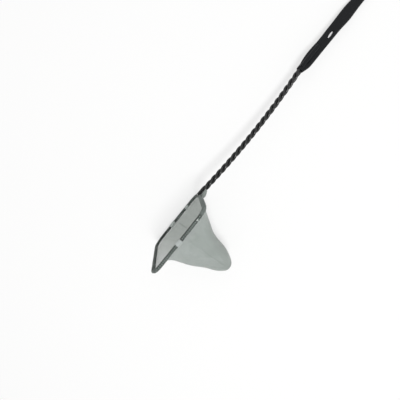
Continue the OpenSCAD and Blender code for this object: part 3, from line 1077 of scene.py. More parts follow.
@dataclass
class Hoop:
    """The rounded hoop of wire, from the neck round the mouth and back."""

    shop: Workshop
    wire: WireSizes = field(default_factory=WireSizes)
    width: float = 98.0
    length: float = 77.0
    corner: float = 11.5
    shoulder: float = 5.5
    neck_bend: float = 3.2
    neck: float = 5.0
    offset: float = 4.9
    bow: float = 0.2
    arc_steps: int = 6
    run_steps: int = 3
    fineness: int = 5

    @property
    def middle_x(self) -> float:
        """Middle of the long sides."""
        return -self.shoulder - self.length / 2

    @property
    def end_x(self) -> float:
        """Far end of the hoop."""
        return -self.shoulder - self.length

    @property
    def side_z(self) -> float:
        """Half of the width."""
        return self.width / 2

    def warped(self, points: Sequence[Points]) -> Points:
        """Bow the long sides out of the flat.

        Args:
            points: Points of the flat hoop.

        Returns:
            The points of the bowed one.
        """
        p = np.array(points)
        share = np.maximum(0.0, 1 - ((p[:, 0] - self.middle_x) / (self.length / 2)) ** 2)
        p[:, 1] -= self.bow * p[:, 2] / self.side_z * share
        return p

    def corners(self) -> tuple[Points, ...]:
        """Return the places that the flat wire bends at.

        Returns:
            The start, the neck's turn, the shoulder, the far corner, the one below it and the side's middle.
        """
        lift = self.wire.lay * math.sin(math.pi / self.wire.strands)
        low = -self.wire.lay / 2
        return (
            np.array([self.neck, low, lift]),
            np.array([0.0, low, lift]),
            np.array([-self.shoulder, -self.offset, self.side_z]),
            np.array([self.end_x, -self.offset, self.side_z]),
            np.array([self.end_x, -self.offset, -self.side_z]),
            np.array([self.middle_x, -self.offset, self.side_z]),
        )

    def upper_flat(self) -> list[Points]:
        """Return the unwarped upper half of the handle side, from the neck to the side's middle.

        Returns:
            Its points, before the side is bowed.
        """
        start, turn, shoulder, end, _, side = self.corners()
        arcs, runs = self.arc_steps * self.fineness, self.run_steps * self.fineness
        neck = bend(start, turn, shoulder, self.neck_bend, arcs)
        corner = bend(turn, shoulder, end, self.corner, arcs)
        lead = [start, *between(start, neck[0], self.fineness)]
        side_run = [*between(corner[-1], side, runs), side]
        return [*lead, *neck, *between(neck[-1], corner[0], runs), *corner, *side_run]

    def end_flat(self) -> list[Points]:
        """Return the unwarped half of the end side, from the side's middle to its last bend.

        Returns:
            Its points, before the side is bowed.
        """
        _, _, shoulder, end, below, side = self.corners()
        corner = bend(shoulder, end, below, self.corner, self.arc_steps * self.fineness)
        return [side, *between(side, corner[0], self.run_steps * self.fineness), *corner]

    def half(self, side: Side) -> Points:
        """Return the handle side's half hoop from the neck to the side's middle."""
        return self.warped([p * (1, 1, side.value) for p in self.upper_flat()])

    def hem_first(self) -> int:
        """Return the number of the first point of a half that lies past the neck's bend."""
        return (1 + self.arc_steps) * self.fineness

    def hemmed_half(self, side: Side) -> Points:
        """Return the part of a half hoop that the hem covers."""
        return self.half(side)[self.hem_first() :]

    def end(self) -> Points:
        """Return the end side of the hoop, from the upper side's middle to the lower one's.

        Returns:
            Its points, in the net's own frame.
        """
        upper = self.end_flat()
        middle = np.array([self.end_x, -self.offset, 0.0])
        run = self.run_steps * self.fineness
        down = [middle, *between(middle, upper[-1] * (1, 1, -1), run)]
        lower = [p * (1, 1, -1) for p in reversed(upper)]
        return self.warped([*upper, *between(upper[-1], middle, run), *down, *lower])

    def route(self) -> Points:
        """Return the whole hoop."""
        return np.vstack([self.half(Side.UPPER), self.end()[1:-1], self.half(Side.LOWER)[::-1]])

    def handle_mouth(self) -> Points:
        """Return the handle side's edge of the mouth, from the upper side's middle to the lower one's.

        Returns:
            Its points, which cross the neck.
        """
        upper, lower = self.hemmed_half(Side.UPPER)[::-1], self.hemmed_half(Side.LOWER)
        neck = np.array([0.0, -self.wire.lay / 2, 0.0])
        down, up = between(upper[-1], neck, self.fineness), between(neck, lower[0], self.fineness)
        return np.vstack([upper, down, [neck], up, lower])

    def build(self) -> None:
        """Make the hoop's coated wire."""
        wire = self.shop.wire("hoop_wire", self.route(), self.wire.radius, self.shop.finishes.wire, sides=24)
        keep(wire, "wire_coating", "hoop_coating")


@dataclass
class Shank:
    """The shank of three strands of the wire, twisted to the left, which spread into the grip."""

    shop: Workshop
    wire: WireSizes = field(default_factory=WireSizes)
    legs: Legs = field(default_factory=Legs)
    neck: float = 5.0
    turns: float = 6.5
    bow: float = 3.5
    free_end: float = 6.0
    tail: float = 28.5
    tail_rise: float = 3.33
    spread: float = 14.5
    rings_per_turn: int = 30
    spread_rings: int = 12
    core_shows: float = 0.35

    @property
    def length(self) -> float:
        """Where the shank ends and the grip starts."""
        return self.legs.start

    def axis_y(self, x: float) -> float:
        """Return how far the bowed axis lies to the side at x."""
        share = (x - self.neck) / (self.length - self.neck)
        return -self.bow * 4 * share * (1 - share)

    def on_lay(self, strand: int, x: float) -> Points:
        """Return the middle of a strand in the twist.

        Args:
            strand: The strand, from 1 to 3.
            x: The place along the net.

        Returns:
            The strand's middle.
        """
        lead = self.wire.diameter
        t = (x - self.neck - lead) / (self.length - self.neck - 2 * lead)
        turn = (strand - 1) / self.wire.strands - self.turns * min(1.0, max(0.0, t))
        g = 2 * math.pi * turn
        return np.array([x, self.axis_y(x) + self.wire.lay * math.cos(g), self.wire.lay * math.sin(g)])

    def leg(self, strand: int) -> tuple[float, float]:
        """Return the place across the grip where a strand ends up."""
        low, near = -self.legs.low, self.legs.near
        return {1: (self.legs.far, low), 2: (near, low), 3: (near, self.tail_rise + low)}[strand]

    def route(self, strand: int) -> Points:
        """Return the whole route of a strand.

        Args:
            strand: The strand, from 1 to 3.

        Returns:
            Its middle line, from the neck into the grip.
        """
        lead = self.wire.diameter
        start = self.neck - self.free_end + self.core_shows if strand == 1 else self.neck
        first = self.on_lay(strand, self.neck)
        count = math.ceil(self.turns * self.rings_per_turn)
        xs = np.linspace(self.neck + lead, self.length - lead, count + 1)
        root, (y, z) = self.on_lay(strand, self.length), self.leg(strand)
        points = [np.array([start, first[1], first[2]]), *[self.on_lay(strand, x) for x in xs], root]
        for i in range(1, self.spread_rings + 1):
            t = i / self.spread_rings
            eased = smooth(t)
            x = self.length + (self.spread - lead) * t
            points.append(np.array([x, root[1] + (y - root[1]) * eased, root[2] + (z - root[2]) * eased]))
        tip = self.length + (self.tail if strand == 3 else self.spread)
        return np.array([*points, [tip, y, z]])

    def build(self) -> None:
        """Make the three strands."""
        radius, finish = self.wire.radius, self.shop.finishes.wire
        for strand in range(1, self.wire.strands + 1):
            obj = self.shop.wire(f"shank_strand_{strand}", self.route(strand), radius, finish, sides=18)
            keep(obj, "wire_coating", f"strand_coating_{strand}")


@dataclass
class Grip:
    """The dipped skin of the grip: two rounded legs, the tail's ridge, the slot and the hanging eye.

    A row of shares holds the place along the length, the reach of the width away from the bag and toward it,
    and the thickness of the lobes.
    """

    shop: Workshop
    shank: Shank
    width: float = 11.4
    lobe: float = 2.36
    web: float = 3.2
    skin: float = 0.69
    slot_at: float = 47.8
    slot_length: float = 11.0
    slot_width: float = 2.2
    slot_rim: float = 0.39
    bore_play: float = 0.05
    eye_radius: float = 5.4
    lead_radius: float = 6.0
    lobe_half_turn: float = 120.0
    shares: tuple[tuple[float, float, float, float], ...] = (
        (0.000, 0.320, 0.320, 1.60),
        (0.020, 0.330, 0.380, 1.60),
        (0.050, 0.325, 0.470, 1.48),
        (0.085, 0.390, 0.550, 1.30),
        (0.130, 0.440, 0.572, 1.14),
        (0.190, 0.460, 0.574, 1.06),
        (0.260, 0.430, 0.572, 1.03),
        (0.310, 0.395, 0.575, 1.02),
        (0.380, 0.390, 0.582, 1.02),
        (0.460, 0.405, 0.588, 1.02),
        (0.540, 0.410, 0.600, 1.04),
        (0.620, 0.430, 0.655, 1.08),
        (0.680, 0.440, 0.680, 1.10),
        (0.740, 0.430, 0.655, 1.07),
        (0.800, 0.380, 0.630, 1.05),
        (0.850, 0.350, 0.620, 1.05),
        (0.900, 0.330, 0.622, 1.06),
    )
    section_steps: int = 14
    rows: int = 140
    lead_steps: int = 10
    ring_steps: int = 48
    tail_stops: int = 24
    tube_sides: int = 24
    dome_stops: int = 8
    dome_share: float = 0.94
    slot_steps: int = 16
    mouth_sides: int = 32
    mouth_inset: float = 0.1
    mouth_stops: tuple[float, float, float] = (-0.6, 0.25, 2.2)
    mouth_flare: float = 0.35
    voxel: float = 0.3
    smooth_rounds: int = 7

    @property
    def legs(self) -> Legs:
        """Where the wire's legs lie in the grip."""
        return self.shank.legs

    @property
    def length(self) -> float:
        """Length of the grip to the middle of the eye."""
        return self.legs.reach

    @property
    def start(self) -> float:
        """Where the grip starts along the net."""
        return self.legs.start

    def section(self, row: Points) -> list[Points]:
        """Return the outline across the grip at one row of shares.

        Args:
            row: Share of the length, shares of the width to each side, and share of the lobe's radius.

        Returns:
            The outline's points.
        """
        r = row[3] * self.lobe
        left, right = row[1] * self.width - r, r - row[2] * self.width
        x, middle = self.start + row[0] * self.length, (left + right) / 2
        web = max(self.web / 2, r - (left - right) / 2 * self.lobe / r)
        half = math.radians(self.lobe_half_turn)
        turns = [half * (2 * i / self.section_steps - 1) for i in range(self.section_steps + 1)]
        near = [np.array([x, left + r * math.cos(g), r * math.sin(g)]) for g in turns]
        far = [np.array([x, right - r * math.cos(g), -r * math.sin(g)]) for g in turns]
        return [*near, np.array([x, middle, web]), *far, np.array([x, middle, -web])]

    def body(self) -> bpy.types.Object:
        """Make the two legs with the web between them, as one closed loft.

        Returns:
            The loft.
        """
        stops = np.array(self.shares)
        grid = np.array([self.section(spline(stops, t)) for t in np.linspace(0, len(stops) - 1, self.rows)])
        return self.closed("grip_body", grid)

    def closed(self, name: str, grid: Points) -> bpy.types.Object:
        """Make a closed solid from rows of sections of the net's frame.

        Args:
            name: Name of the solid.
            grid: Points as rows by columns by 3.

        Returns:
            The solid.
        """
        rows, cols = grid.shape[:2]
        faces = [
            (i * cols + j, i * cols + (j + 1) % cols, (i + 1) * cols + (j + 1) % cols, (i + 1) * cols + j)
            for i in range(rows - 1)
            for j in range(cols)
        ]
        faces += [tuple(range(cols))[::-1], tuple((rows - 1) * cols + j for j in range(cols))]
        obj = mesh_object(name, self.shop.where.place(grid.reshape(-1, 3)), faces)
        outward(obj)
        return obj

    def loop_route(self) -> Points:
        """Return the wire's way up one leg, round the eye and down the other.

        Returns:
            Its points, in the net's own frame.
        """
        low, near, far, eye = -self.legs.low, self.legs.near, self.legs.far, self.legs.eye
        turn = math.acos((self.legs.gap / 2 + self.lead_radius) / (self.eye_radius + self.lead_radius))
        lead_x = eye[0] - (self.eye_radius + self.lead_radius) * math.sin(turn)
        start = self.start + self.length * self.shares[-1][0] - self.lobe

        def arc(y: float, x: float, r: float, first: float, last: float, steps: int) -> list[Points]:
            """Return an arc in the plane of the legs."""
            turns = np.linspace(first, last, steps + 1)
            return [np.array([x + r * math.cos(g), y + r * math.sin(g), low]) for g in turns]

        quarter, lead = math.pi / 2, self.lead_radius
        up = arc(near + lead, lead_x, lead, -quarter, turn - quarter, self.lead_steps)
        ring = arc(eye[1], eye[0], self.eye_radius, quarter + turn, -quarter - turn, self.ring_steps)
        down = arc(far - lead, lead_x, lead, quarter - turn, quarter, self.lead_steps)
        return np.array([[start, near, low], *up, *ring[1:-1], *down, [start, far, low]])

    def tail_route(self) -> Points:
        """Return the middle line of the ridge over the wire's tail.

        Returns:
            Its points, in the net's own frame.
        """
        y, z = self.shank.leg(3)
        first, last = self.start + self.shank.wire.diameter, self.start + self.shank.tail
        return np.array([[x, y, z] for x in np.linspace(first, last, self.tail_stops)])

    def rounded_tube(self, name: str, path: Points, radius: float, dome: bool) -> bpy.types.Object:
        """Make a closed round bar along a path, with a domed far end where asked.

        Args:
            name: Name of the bar.
            path: Its middle line.
            radius: Its radius, in millimetres.
            dome: Whether its far end is domed.

        Returns:
            The bar.
        """
        radii = [radius] * len(path)
        if dome:
            ahead, end = unit(path[-1] - path[-2]), path[-1]
            turns = np.linspace(0, math.pi / 2 * self.dome_share, self.dome_stops)[1:]
            path = np.vstack([path, [end + ahead * radius * math.sin(g) for g in turns]])
            radii += [radius * math.cos(g) for g in turns]
        grid, _ = tube_grid(path, lambda i, g: radii[i], self.tube_sides, np.array([0.0, 0.0, 1.0]))
        return self.closed(name, grid)

    def slot_cutter(self) -> bpy.types.Object:
        """Make the lens-shaped bar that cuts the slot.

        Returns:
            The cutter.
        """
        radius = (self.slot_length**2 / self.slot_width + self.slot_width) / 4
        turn = math.asin(self.slot_length / radius / 2)
        bore = self.shank.wire.radius + self.bore_play
        y = self.legs.far + bore + self.slot_rim + self.slot_width / 2
        middle = np.array([self.start + self.slot_at, y, 0.0])
        turns = [turn * (2 * i / self.slot_steps - 1) for i in range(self.slot_steps)]
        bulge = [(radius * math.sin(g), radius * (math.cos(g) - 1) + self.slot_width / 2, 0.0) for g in turns]
        lens = [middle + sign * np.array(p) for sign in (1, -1) for p in bulge]
        grid = np.array([[p + (0, 0, z) for p in lens] for z in (-self.width / 2, self.width / 2)])
        return self.closed("slot_cutter", grid)

    def mouth_cutter(self) -> bpy.types.Object:
        """Make the short cone that hollows the mouth, where the strands go in.

        Returns:
            The cutter.
        """
        inner = self.shank.wire.lay
        outer = inner + self.shank.wire.radius - self.mouth_inset
        radii = (outer + self.mouth_flare, outer, inner)
        stops = [(self.start + x, r) for x, r in zip(self.mouth_stops, radii)]
        turns = np.linspace(0, 2 * math.pi, self.mouth_sides + 1)[:-1]
        grid = np.array([[(x, r * math.cos(g), r * math.sin(g)) for g in turns] for x, r in stops])
        return self.closed("mouth_cutter", grid)

    def build(self) -> None:
        """Join the skin's forms, melt them together as the bath does, and dress them."""
        body = self.body()
        radius = self.shank.wire.radius + self.skin
        ring = self.rounded_tube("grip_ring", self.loop_route(), radius, False)
        tail = self.rounded_tube("grip_tail", self.tail_route(), radius, True)
        for cutter in (self.slot_cutter(), self.mouth_cutter()):
            cut(body, cutter)
        skin = joined("grip_dipped_skin", [body, ring, tail])
        melt(skin, self.voxel * MM, self.smooth_rounds)
        skin.data.materials.clear()
        skin.data.materials.append(self.shop.finishes.grip)
        finish_mesh(skin, sharp=180.0)
        keep(skin, "grip_skin", "grip_skin")


def outward(obj: bpy.types.Object) -> None:
    """Turn a closed mesh's faces outward, by the sign of its volume.

    Args:
        obj: The object, whose mesh is closed.
    """
    points = np.array([v.co for v in obj.data.vertices])
    obj.data.calc_loop_triangles()
    corners = np.array([t.vertices for t in obj.data.loop_triangles])
    a, b, c = (points[corners[:, k]] for k in range(3))
    if float(np.einsum("ij,ij->i", a, np.cross(b, c)).sum()) < 0:
        obj.data.flip_normals()


def cut(obj: bpy.types.Object, cutter: bpy.types.Object) -> None:
    """Cut one closed solid out of another and remove the cutter.

    Args:
        obj: What is cut.
        cutter: What is cut out of it.
    """
    modifier = obj.modifiers.new("cut", "BOOLEAN")
    modifier.operation = "DIFFERENCE"
    modifier.solver = "EXACT"
    modifier.object = cutter
    apply_modifiers(obj)
    bpy.data.objects.remove(cutter)


def joined(name: str, parts: Sequence[bpy.types.Object]) -> bpy.types.Object:
    """Put the meshes of several objects into one, and remove them.

    Args:
        name: Name of the new object.
        parts: The objects.

    Returns:
        The new object.
    """
    points: list[Vector] = []
    faces: list[list[int]] = []
    for part in parts:
        first = len(points)
        points += [v.co.copy() for v in part.data.vertices]
        faces += [[first + i for i in face.vertices] for face in part.data.polygons]
        bpy.data.objects.remove(part)
    return mesh_object(name, np.array(points), faces)


def melt(obj: bpy.types.Object, voxel: float, rounds: int, softness: float = 0.5) -> None:
    """Run overlapping solids into one skin and soften the hollows between them.

    Args:
        obj: The object, whose solids overlap.
        voxel: Size of the grid that the skin is found on, in metres.
        rounds: Rounds of softening.
        softness: How far a point moves in one round.
    """
    remesh = obj.modifiers.new("melt", "REMESH")
    remesh.mode = "VOXEL"
    remesh.voxel_size = voxel
    soften = obj.modifiers.new("soften", "SMOOTH")
    soften.factor = softness
    soften.iterations = rounds
    apply_modifiers(obj)


@dataclass(frozen=True)
class Wrinkles:
    """How the bag's cloth stands in: pleats under the rim, soft folds and fine creases.

    Heights are in millimetres. An ease counts how many times over a share grows to one, and cells are counts
    of noise across the panel and down it.
    """

    seam_ease: float = 14.0
    rim_ease: float = 40.0
    pleats: float = 24.0
    pleat_height: float = 0.55
    pleat_least: float = 0.45
    pleat_fade: float = 0.13
    pleat_wander: float = 2.2
    wander_cells: float = 5.0
    pleat_cells: float = 7.0
    slack_ease: tuple[float, float] = (5.0, 7.0)
    fold_height: float = 1.0
    fold_bias: float = 0.25
    fold_cells: tuple[float, float] = (3.2, 2.4)
    crease_height: float = 0.22
    crease_fineness: float = 5.0
    crease_cells: tuple[float, float] = (5.0, 1.6)
    crease_slant: float = 2.5

    def depth(self, across: float, s: float, seed: float) -> float:
        """Return how far the cloth stands in at a place, in millimetres.

        Args:
            across: Share of the way across the panel.
            s: Share of the way down it.
            seed: Tells the panels apart.

        Returns:
            The depth, which is nought at the rim and the seam.
        """
        edge = smooth(across * self.seam_ease) * smooth((1 - across) * self.seam_ease)
        rim = smooth(s * self.rim_ease) * math.exp(-s / self.pleat_fade)
        wander = self.pleat_wander * ripple(across * self.wander_cells, 0.0, seed)
        gather = math.sin(2 * math.pi * self.pleats * across + wander)
        uneven = self.pleat_least + (1 - self.pleat_least) * ripple(across * self.pleat_cells, 1.0, seed)
        slack = smooth(s * self.slack_ease[0]) * smooth((1 - s) * self.slack_ease[1])
        fold = ripple(across * self.fold_cells[0], s * self.fold_cells[1], seed + 3) + self.fold_bias
        lines = across * self.crease_cells[0] + s * self.crease_slant
        ridge = 1 - abs(ripple(lines, s * self.crease_cells[1] - across, seed + 9)) * self.crease_fineness
        crease = self.crease_height * max(0.0, ridge)
        return edge * (self.pleat_height * rim * uneven * gather + slack * (self.fold_height * fold + crease))


@dataclass
class Bag:
    """The tapering mesh bag: two panels that hang from the hoop, and the seam inside.

    A row of shares holds the place down the depth, the reach of the handle's panel and of the end's, and the
    width across. A cut is the width, length and area of the flat cloth.
    """

    shop: Workshop
    hoop: Hoop
    wrinkles: Wrinkles = field(default_factory=Wrinkles)
    depth: float = 78.0
    tip_low: float = 12.0
    droop: float = 38.0
    fall_power: float = 16.0
    square_power: int = 6
    mesh: float = 0.6
    rim_drop: float = 2.275
    seam: float = 1.2
    seam_play: float = 0.05
    seam_ends: tuple[int, int] = (6, 3)
    cord_share: float = 0.5
    overlock: ThreadRow = ThreadRow(Sewing.STITCH, 1.9, 1.14, 0.1, 46.0, 58.0, 0.3)
    lining: float = 0.15
    lining_ease: tuple[float, float] = (20.0, 30.0)
    oval_share: float = 0.6
    oval_part: float = 0.8
    rows: int = 112
    shares: tuple[tuple[float, float, float, float], ...] = (
        (0.00, 1.00, 1.00, 1.00),
        (0.05, 0.98, 0.90, 0.99),
        (0.11, 0.93, 0.82, 0.98),
        (0.20, 0.85, 0.76, 0.97),
        (0.31, 0.74, 0.73, 0.96),
        (0.43, 0.61, 0.70, 0.95),
        (0.54, 0.50, 0.64, 0.93),
        (0.64, 0.43, 0.55, 0.89),
        (0.73, 0.40, 0.47, 0.83),
        (0.81, 0.37, 0.41, 0.75),
        (0.88, 0.32, 0.34, 0.65),
        (0.94, 0.24, 0.25, 0.52),
        (0.98, 0.15, 0.16, 0.36),
        (1.00, 0.00, 0.00, 0.00),
    )
    handle_cut: tuple[float, float, float] = (170.0, 110.0, 8400.0)
    end_cut: tuple[float, float, float] = (166.0, 110.0, 8200.0)

    @property
    def tip(self) -> Points:
        """The lowest point of the bag."""
        return np.array([self.hoop.middle_x, -self.hoop.offset - self.depth, -self.tip_low])

    def point(self, m: Points, turn: float, panel: Panel, row: Points) -> Points:
        """Return the bag's point below a point of the mouth.

        Args:
            m: The point of the mouth.
            turn: Angle round the bag, from 90 degrees at the upper side to -90 at the lower one.
            panel: The panel.
            row: The row of shares.

        Returns:
            The point, in millimetres.
        """
        side, half = panel.value, self.hoop.length / 2
        s, share = row[0], row[1] if panel is Panel.HANDLE else row[2]
        b = smooth(s / self.oval_share) * self.oval_part
        near = side * min(side * (m[0] - self.hoop.middle_x), half)
        x = near + (m[0] - self.hoop.middle_x - near) * (1 - s) ** self.square_power
        z = m[2] + (self.hoop.side_z * math.sin(turn) - m[2]) * b
        fallen = self.droop * (1 - (1 - s) ** self.fall_power)
        return np.array(
            [
                self.hoop.middle_x + share * (x + (side * half * math.cos(turn) - x) * b),
                (m[1] - self.rim_drop) * (1 - s) - (self.hoop.offset + self.depth) * s,
                row[3] * (z - fallen * (z + self.hoop.side_z) / self.hoop.width) - self.tip_low * s * s,
            ]
        )

    def mouth(self, panel: Panel) -> Points:
        """Return the edge of the mouth that a panel hangs from."""
        return self.hoop.handle_mouth() if panel is Panel.HANDLE else self.hoop.end()

    def grid(self, panel: Panel) -> Points:
        """Return a panel's points as rows by columns by 3, before it wrinkles.

        Args:
            panel: The panel.

        Returns:
            The points, in the net's own frame.
        """
        mouth = self.mouth(panel)
        turns = [math.pi / 2 - math.pi * j / (len(mouth) - 1) for j in range(len(mouth))]
        places = list(zip(mouth, turns))
        return np.array([[self.point(m, g, panel, row) for m, g in places] for row in self.levels()])

    def levels(self) -> list[Points]:
        """Return the row of shares at each level of the bag, from the rim to the tip."""
        stops = np.array(self.shares)
        return [spline(stops, t) for t in np.linspace(0, len(stops) - 1, self.rows)]

    def panel(self, panel: Panel, sleeves: list[bpy.types.Object]) -> None:
        """Make one panel and wrinkle it.

        Args:
            panel: The panel.
            sleeves: The hem's sleeves that its cloth ends in; not used.
        """
        handle = panel is Panel.HANDLE
        grid = self.grid(panel)
        cols = grid.shape[1]
        inward = -panel.value * np.cross(np.gradient(grid, axis=0), np.gradient(grid, axis=1))
        inward[-1] = inward[-2]
        inward /= np.maximum(np.linalg.norm(inward, axis=2, keepdims=True), 1e-9)
        rim_ease, seam_ease = self.lining_ease
        for i, level in enumerate(self.levels()[:-1]):
            s = float(level[0])
            for j in range(cols):
                across = j / (cols - 1)
                seams = smooth(across * seam_ease) * smooth((1 - across) * seam_ease)
                lining = self.lining * smooth(s * rim_ease) * seams
                grid[i, j] += inward[i, j] * (self.wrinkles.depth(across, s, 4.0 * panel.value) + lining)
        which, finish = panel.name.lower(), self.shop.finishes.mesh
        cloth = self.shop.cloth(f"{which}_mesh", grid, self.cut_map(grid), finish, pole=True, turned=handle)
        keep(cloth, "mesh", f"bag_{which}_panel")
        width, length, area = self.handle_cut if handle else self.end_cut
        area *= MM * MM

    def cut_map(self, grid: Points) -> Points:
        """Return the cloth's own map of a panel: across it from its middle, and down it.

        Args:
            grid: The panel's points.

        Returns:
            The map as rows by columns by 2, in millimetres.
        """
        rows, cols = grid.shape[:2]
        uv = np.zeros((rows, cols, 2))
        middle = cols // 2
        down = lengths(grid[:, middle])
        for i in range(rows):
            across = lengths(grid[i])
            uv[i, :, 0] = across - across[middle]
            uv[i, :, 1] = down[i]
        return uv

    def seam_route(self) -> Points:
        """Return the way of the seam inside the bag, from one side of the hoop to the other.

        Returns:
            Its points, in the net's own frame.
        """
        inset = self.mesh + self.seam / 2 + self.seam_play
        grid = self.grid(Panel.END)
        sides = []
        down, along = np.gradient(grid, axis=0), np.gradient(grid, axis=1)
        for column in (0, -1):
            inward = np.cross(down[:, column], along[:, column]) * (0.0, 1.0, 1.0)
            rows = range(self.seam_ends[0], self.rows - self.seam_ends[1])
            sides.append([grid[i, column] + inset * unit(inward[i]) for i in rows])
        return np.array([*sides[0], self.tip + (0.0, 2 * inset, 0.0), *sides[1][::-1]])

    def build(self, sleeves: dict[Panel, list[bpy.types.Object]]) -> None:
        """Make both panels, the seam and its overlock stitches.

        Args:
            sleeves: The hem's sleeves that each panel ends in.
        """
        for panel in Panel:
            self.panel(panel, sleeves[panel])
        route = self.seam_route()
        finish = self.shop.finishes.seam
        cord = self.shop.wire("seam_cord", route, self.seam / 2 * self.cord_share, finish, sides=10)
        keep(cord, "thread", "bag_seam")
        overlock = self.shop.sew("seam_overlock", route, self.overlock, finish)
        keep(overlock, "thread")


@dataclass
class Hem:
    """The mesh folded round the hoop, with its whipped thread, its stitches, its patches and its knots."""

    shop: Workshop
    hoop: Hoop
    wire: WireSizes = field(default_factory=WireSizes)
    cloth: float = 0.24
    play: float = 0.05
    patch_length: float = 6.4
    lower_patch_length: float = 8.0
    lower_patch_shift: float = -6.5
    patch_cloth: float = 0.45
    patch_least: float = 0.75
    tack_length: float = 5.2
    tack_cloth: float = 0.16
    thread: float = 0.5
    thread_angle: float = 20.0
    fin: float = 0.3
    fin_angle: float = 18.0
    gather: float = 0.5
    gather_rows: int = 38
    puff: float = 0.14
    crumple: float = 0.08
    swell_crumple: float = 0.8
    crumple_cells: tuple[float, float] = (0.5, 1.5)
    sleeve_sides: int = 26
    ring_step: float = 0.4
    whipping: ThreadRow = ThreadRow(Sewing.LOOP, 1.95, 1.86, 0.12, 15.0, 32.5, sharp=80.0)
    running: ThreadRow = ThreadRow(Sewing.STITCH, 3.2, 2.3, 0.22, -2.0, 10.0, 0.3)
    stitch_step: float = 1.0
    patch_ease: float = 3.0
    stretch_steps: int = 10
    knot_size: float = 0.27
    knot_thread: float = 0.25
    knot_stops: int = 49
    knot_x: float = -17.0
    thread_end_x: float = -46.8
    tack_x: float = -23.0
    end_corner: float = 0.6

    @property
    def radius(self) -> float:
        """Outside radius of the hem."""
        return self.wire.radius + self.play + self.cloth

    def sleeve(
        self, name: str, path: Points, swell: Callable[[float], float], finish: bpy.types.Material
    ) -> bpy.types.Object:
        """Fold cloth round a path of the wire, with its two layers laid together toward the bag.

        Args:
            name: Name of the piece.
            path: The wire's way under the sleeve.
            swell: Gives how much wider the sleeve is at a share of its length.
            finish: The cloth's material.

        Returns:
            The sleeve.
        """
        path = resampled(path, self.ring_step)
        along = lengths(path)

        def radius(i: int, g: float) -> float:
            """Return the sleeve's radius at a ring and an angle.

            Args:
                i: The ring's number.
                g: The angle, where the layers lie together at -90 degrees.

            Returns:
                The radius, in millimetres.
            """
            off = math.degrees(abs((g - math.pi / 2) % (2 * math.pi) - math.pi))
            fin = self.fin * math.exp(-((off / self.fin_angle) ** 2))
            puff = self.puff * abs(math.sin(math.pi * along[i] / self.whipping.spacing))
            length, girth = self.crumple_cells
            crumple = ripple(along[i] * length + math.cos(g), math.sin(g) * girth, 6.0)
            wide = swell(along[i] / along[-1]) * (1 + self.swell_crumple * crumple)
            return self.radius + fin + puff + wide + self.crumple * crumple

        grid, uv = tube_grid(path, radius, self.sleeve_sides, np.array([0.0, 1.0, 0.0]))
        return self.shop.cloth(name, grid, uv, finish, closed=True)

    def stitch_route(self) -> Points:
        """Return the line of the running stitches, under the wire on the mouth's inner side.

        Returns:
            Its points, in the net's own frame.
        """
        first = self.hoop.hem_first()
        route = resampled(self.hoop.route()[first:-first], self.stitch_step)
        away = np.abs(route[:, 0] - self.hoop.middle_x)
        near_patch = np.array([smooth((self.patch_length - a) / self.patch_ease) for a in away])
        out = self.radius + self.patch_cloth * near_patch + self.thread / 2 + self.play
        inward = np.cross((0.0, 1.0, 0.0), tangents(route))
        inward /= np.linalg.norm(inward, axis=1, keepdims=True)
        turn = math.radians(self.thread_angle)
        return route + out[:, None] * (math.sin(turn) * inward - np.array([0.0, math.cos(turn), 0.0]))

    def stretch(self, side: Side, x: float, length: float) -> Points:
        """Return a short length of the wire's way along a long side.

        Args:
            side: The side of the hoop.
            x: The middle of the length, along the net.
            length: How long it is.

        Returns:
            Its points, in the net's own frame.
        """
        steps = np.arange(self.stretch_steps + 1) / self.stretch_steps - 0.5
        y, z = -self.hoop.offset, side.value * self.hoop.side_z
        return self.hoop.warped([(x + length * t, y, z) for t in steps])

    def patches(self) -> None:
        """Make the doubled patches where the bag's seam meets the hoop, and the small tack."""

        def plump(t: float) -> float:
            """Return how far a patch stands out at a share of its length."""
            return self.patch_cloth * (self.patch_least + (1 - self.patch_least) * math.sin(math.pi * t))

        patch, cover = self.shop.finishes.patch, self.shop.finishes.cover
        middle = self.hoop.middle_x
        upper = self.stretch(Side.UPPER, middle, self.patch_length)
        lower = self.stretch(Side.LOWER, middle + self.lower_patch_shift, self.lower_patch_length)
        keep(self.sleeve("seam_patch_upper", upper, plump, patch), "patch", "hem_patch_upper")
        # The lower patch and the tack wear the cover cloth, whose extra paleness is painted light.
        keep(self.sleeve("seam_patch_lower", lower, plump, cover), "patch", "hem_patch_lower")
        tack = self.stretch(Side.LOWER, self.tack_x, self.tack_length)
        keep(self.sleeve("tack", tack, lambda t: self.tack_cloth, cover), "patch")

    def knot(self, side: Side, x: float) -> None:
        """Tie off the thread with a small knot on a long side.

        Args:
            side: The side of the hoop.
            x: The place along the net.
        """
        middle = self.stretch_steps // 2
        centre = self.stretch(side, x, 1.0)[middle] + (0.0, 0.0, self.radius + self.knot_thread)
        turns = np.linspace(0, 2 * math.pi, self.knot_stops)
        along, down = np.sin(turns) + 2 * np.sin(2 * turns), np.cos(turns) - 2 * np.cos(2 * turns)
        path = centre + self.knot_size * np.column_stack([along, down, -np.sin(3 * turns)])
        name, finish = f"thread_knot_{side.name.lower()}", self.shop.finishes.thread
        keep(self.shop.wire(name, path, self.knot_thread, finish, sides=8), "thread")

    def build(self) -> dict[Panel, list[bpy.types.Object]]:
        """Make the hem, from the sleeves to the knots.

        Returns:
            The sleeves that each of the bag's panels ends in.
        """
        finishes = self.shop.finishes
        upper, lower = self.hoop.hemmed_half(Side.UPPER), self.hoop.hemmed_half(Side.LOWER)
        end = self.hoop.end()
        far_side = np.flatnonzero(end[:, 0] < self.hoop.end_x + self.hoop.corner * self.end_corner)
        first, last = int(far_side[0]), int(far_side[-1])

        def gathered(t: float) -> float:
            """Return how far the gathers by the neck stand out at a share of their length."""
            return self.gather * math.sin(math.pi * t) ** 0.5

        def plain(t: float) -> float:
            """Return nought, for a hem that lies flat on the wire."""
            return 0.0

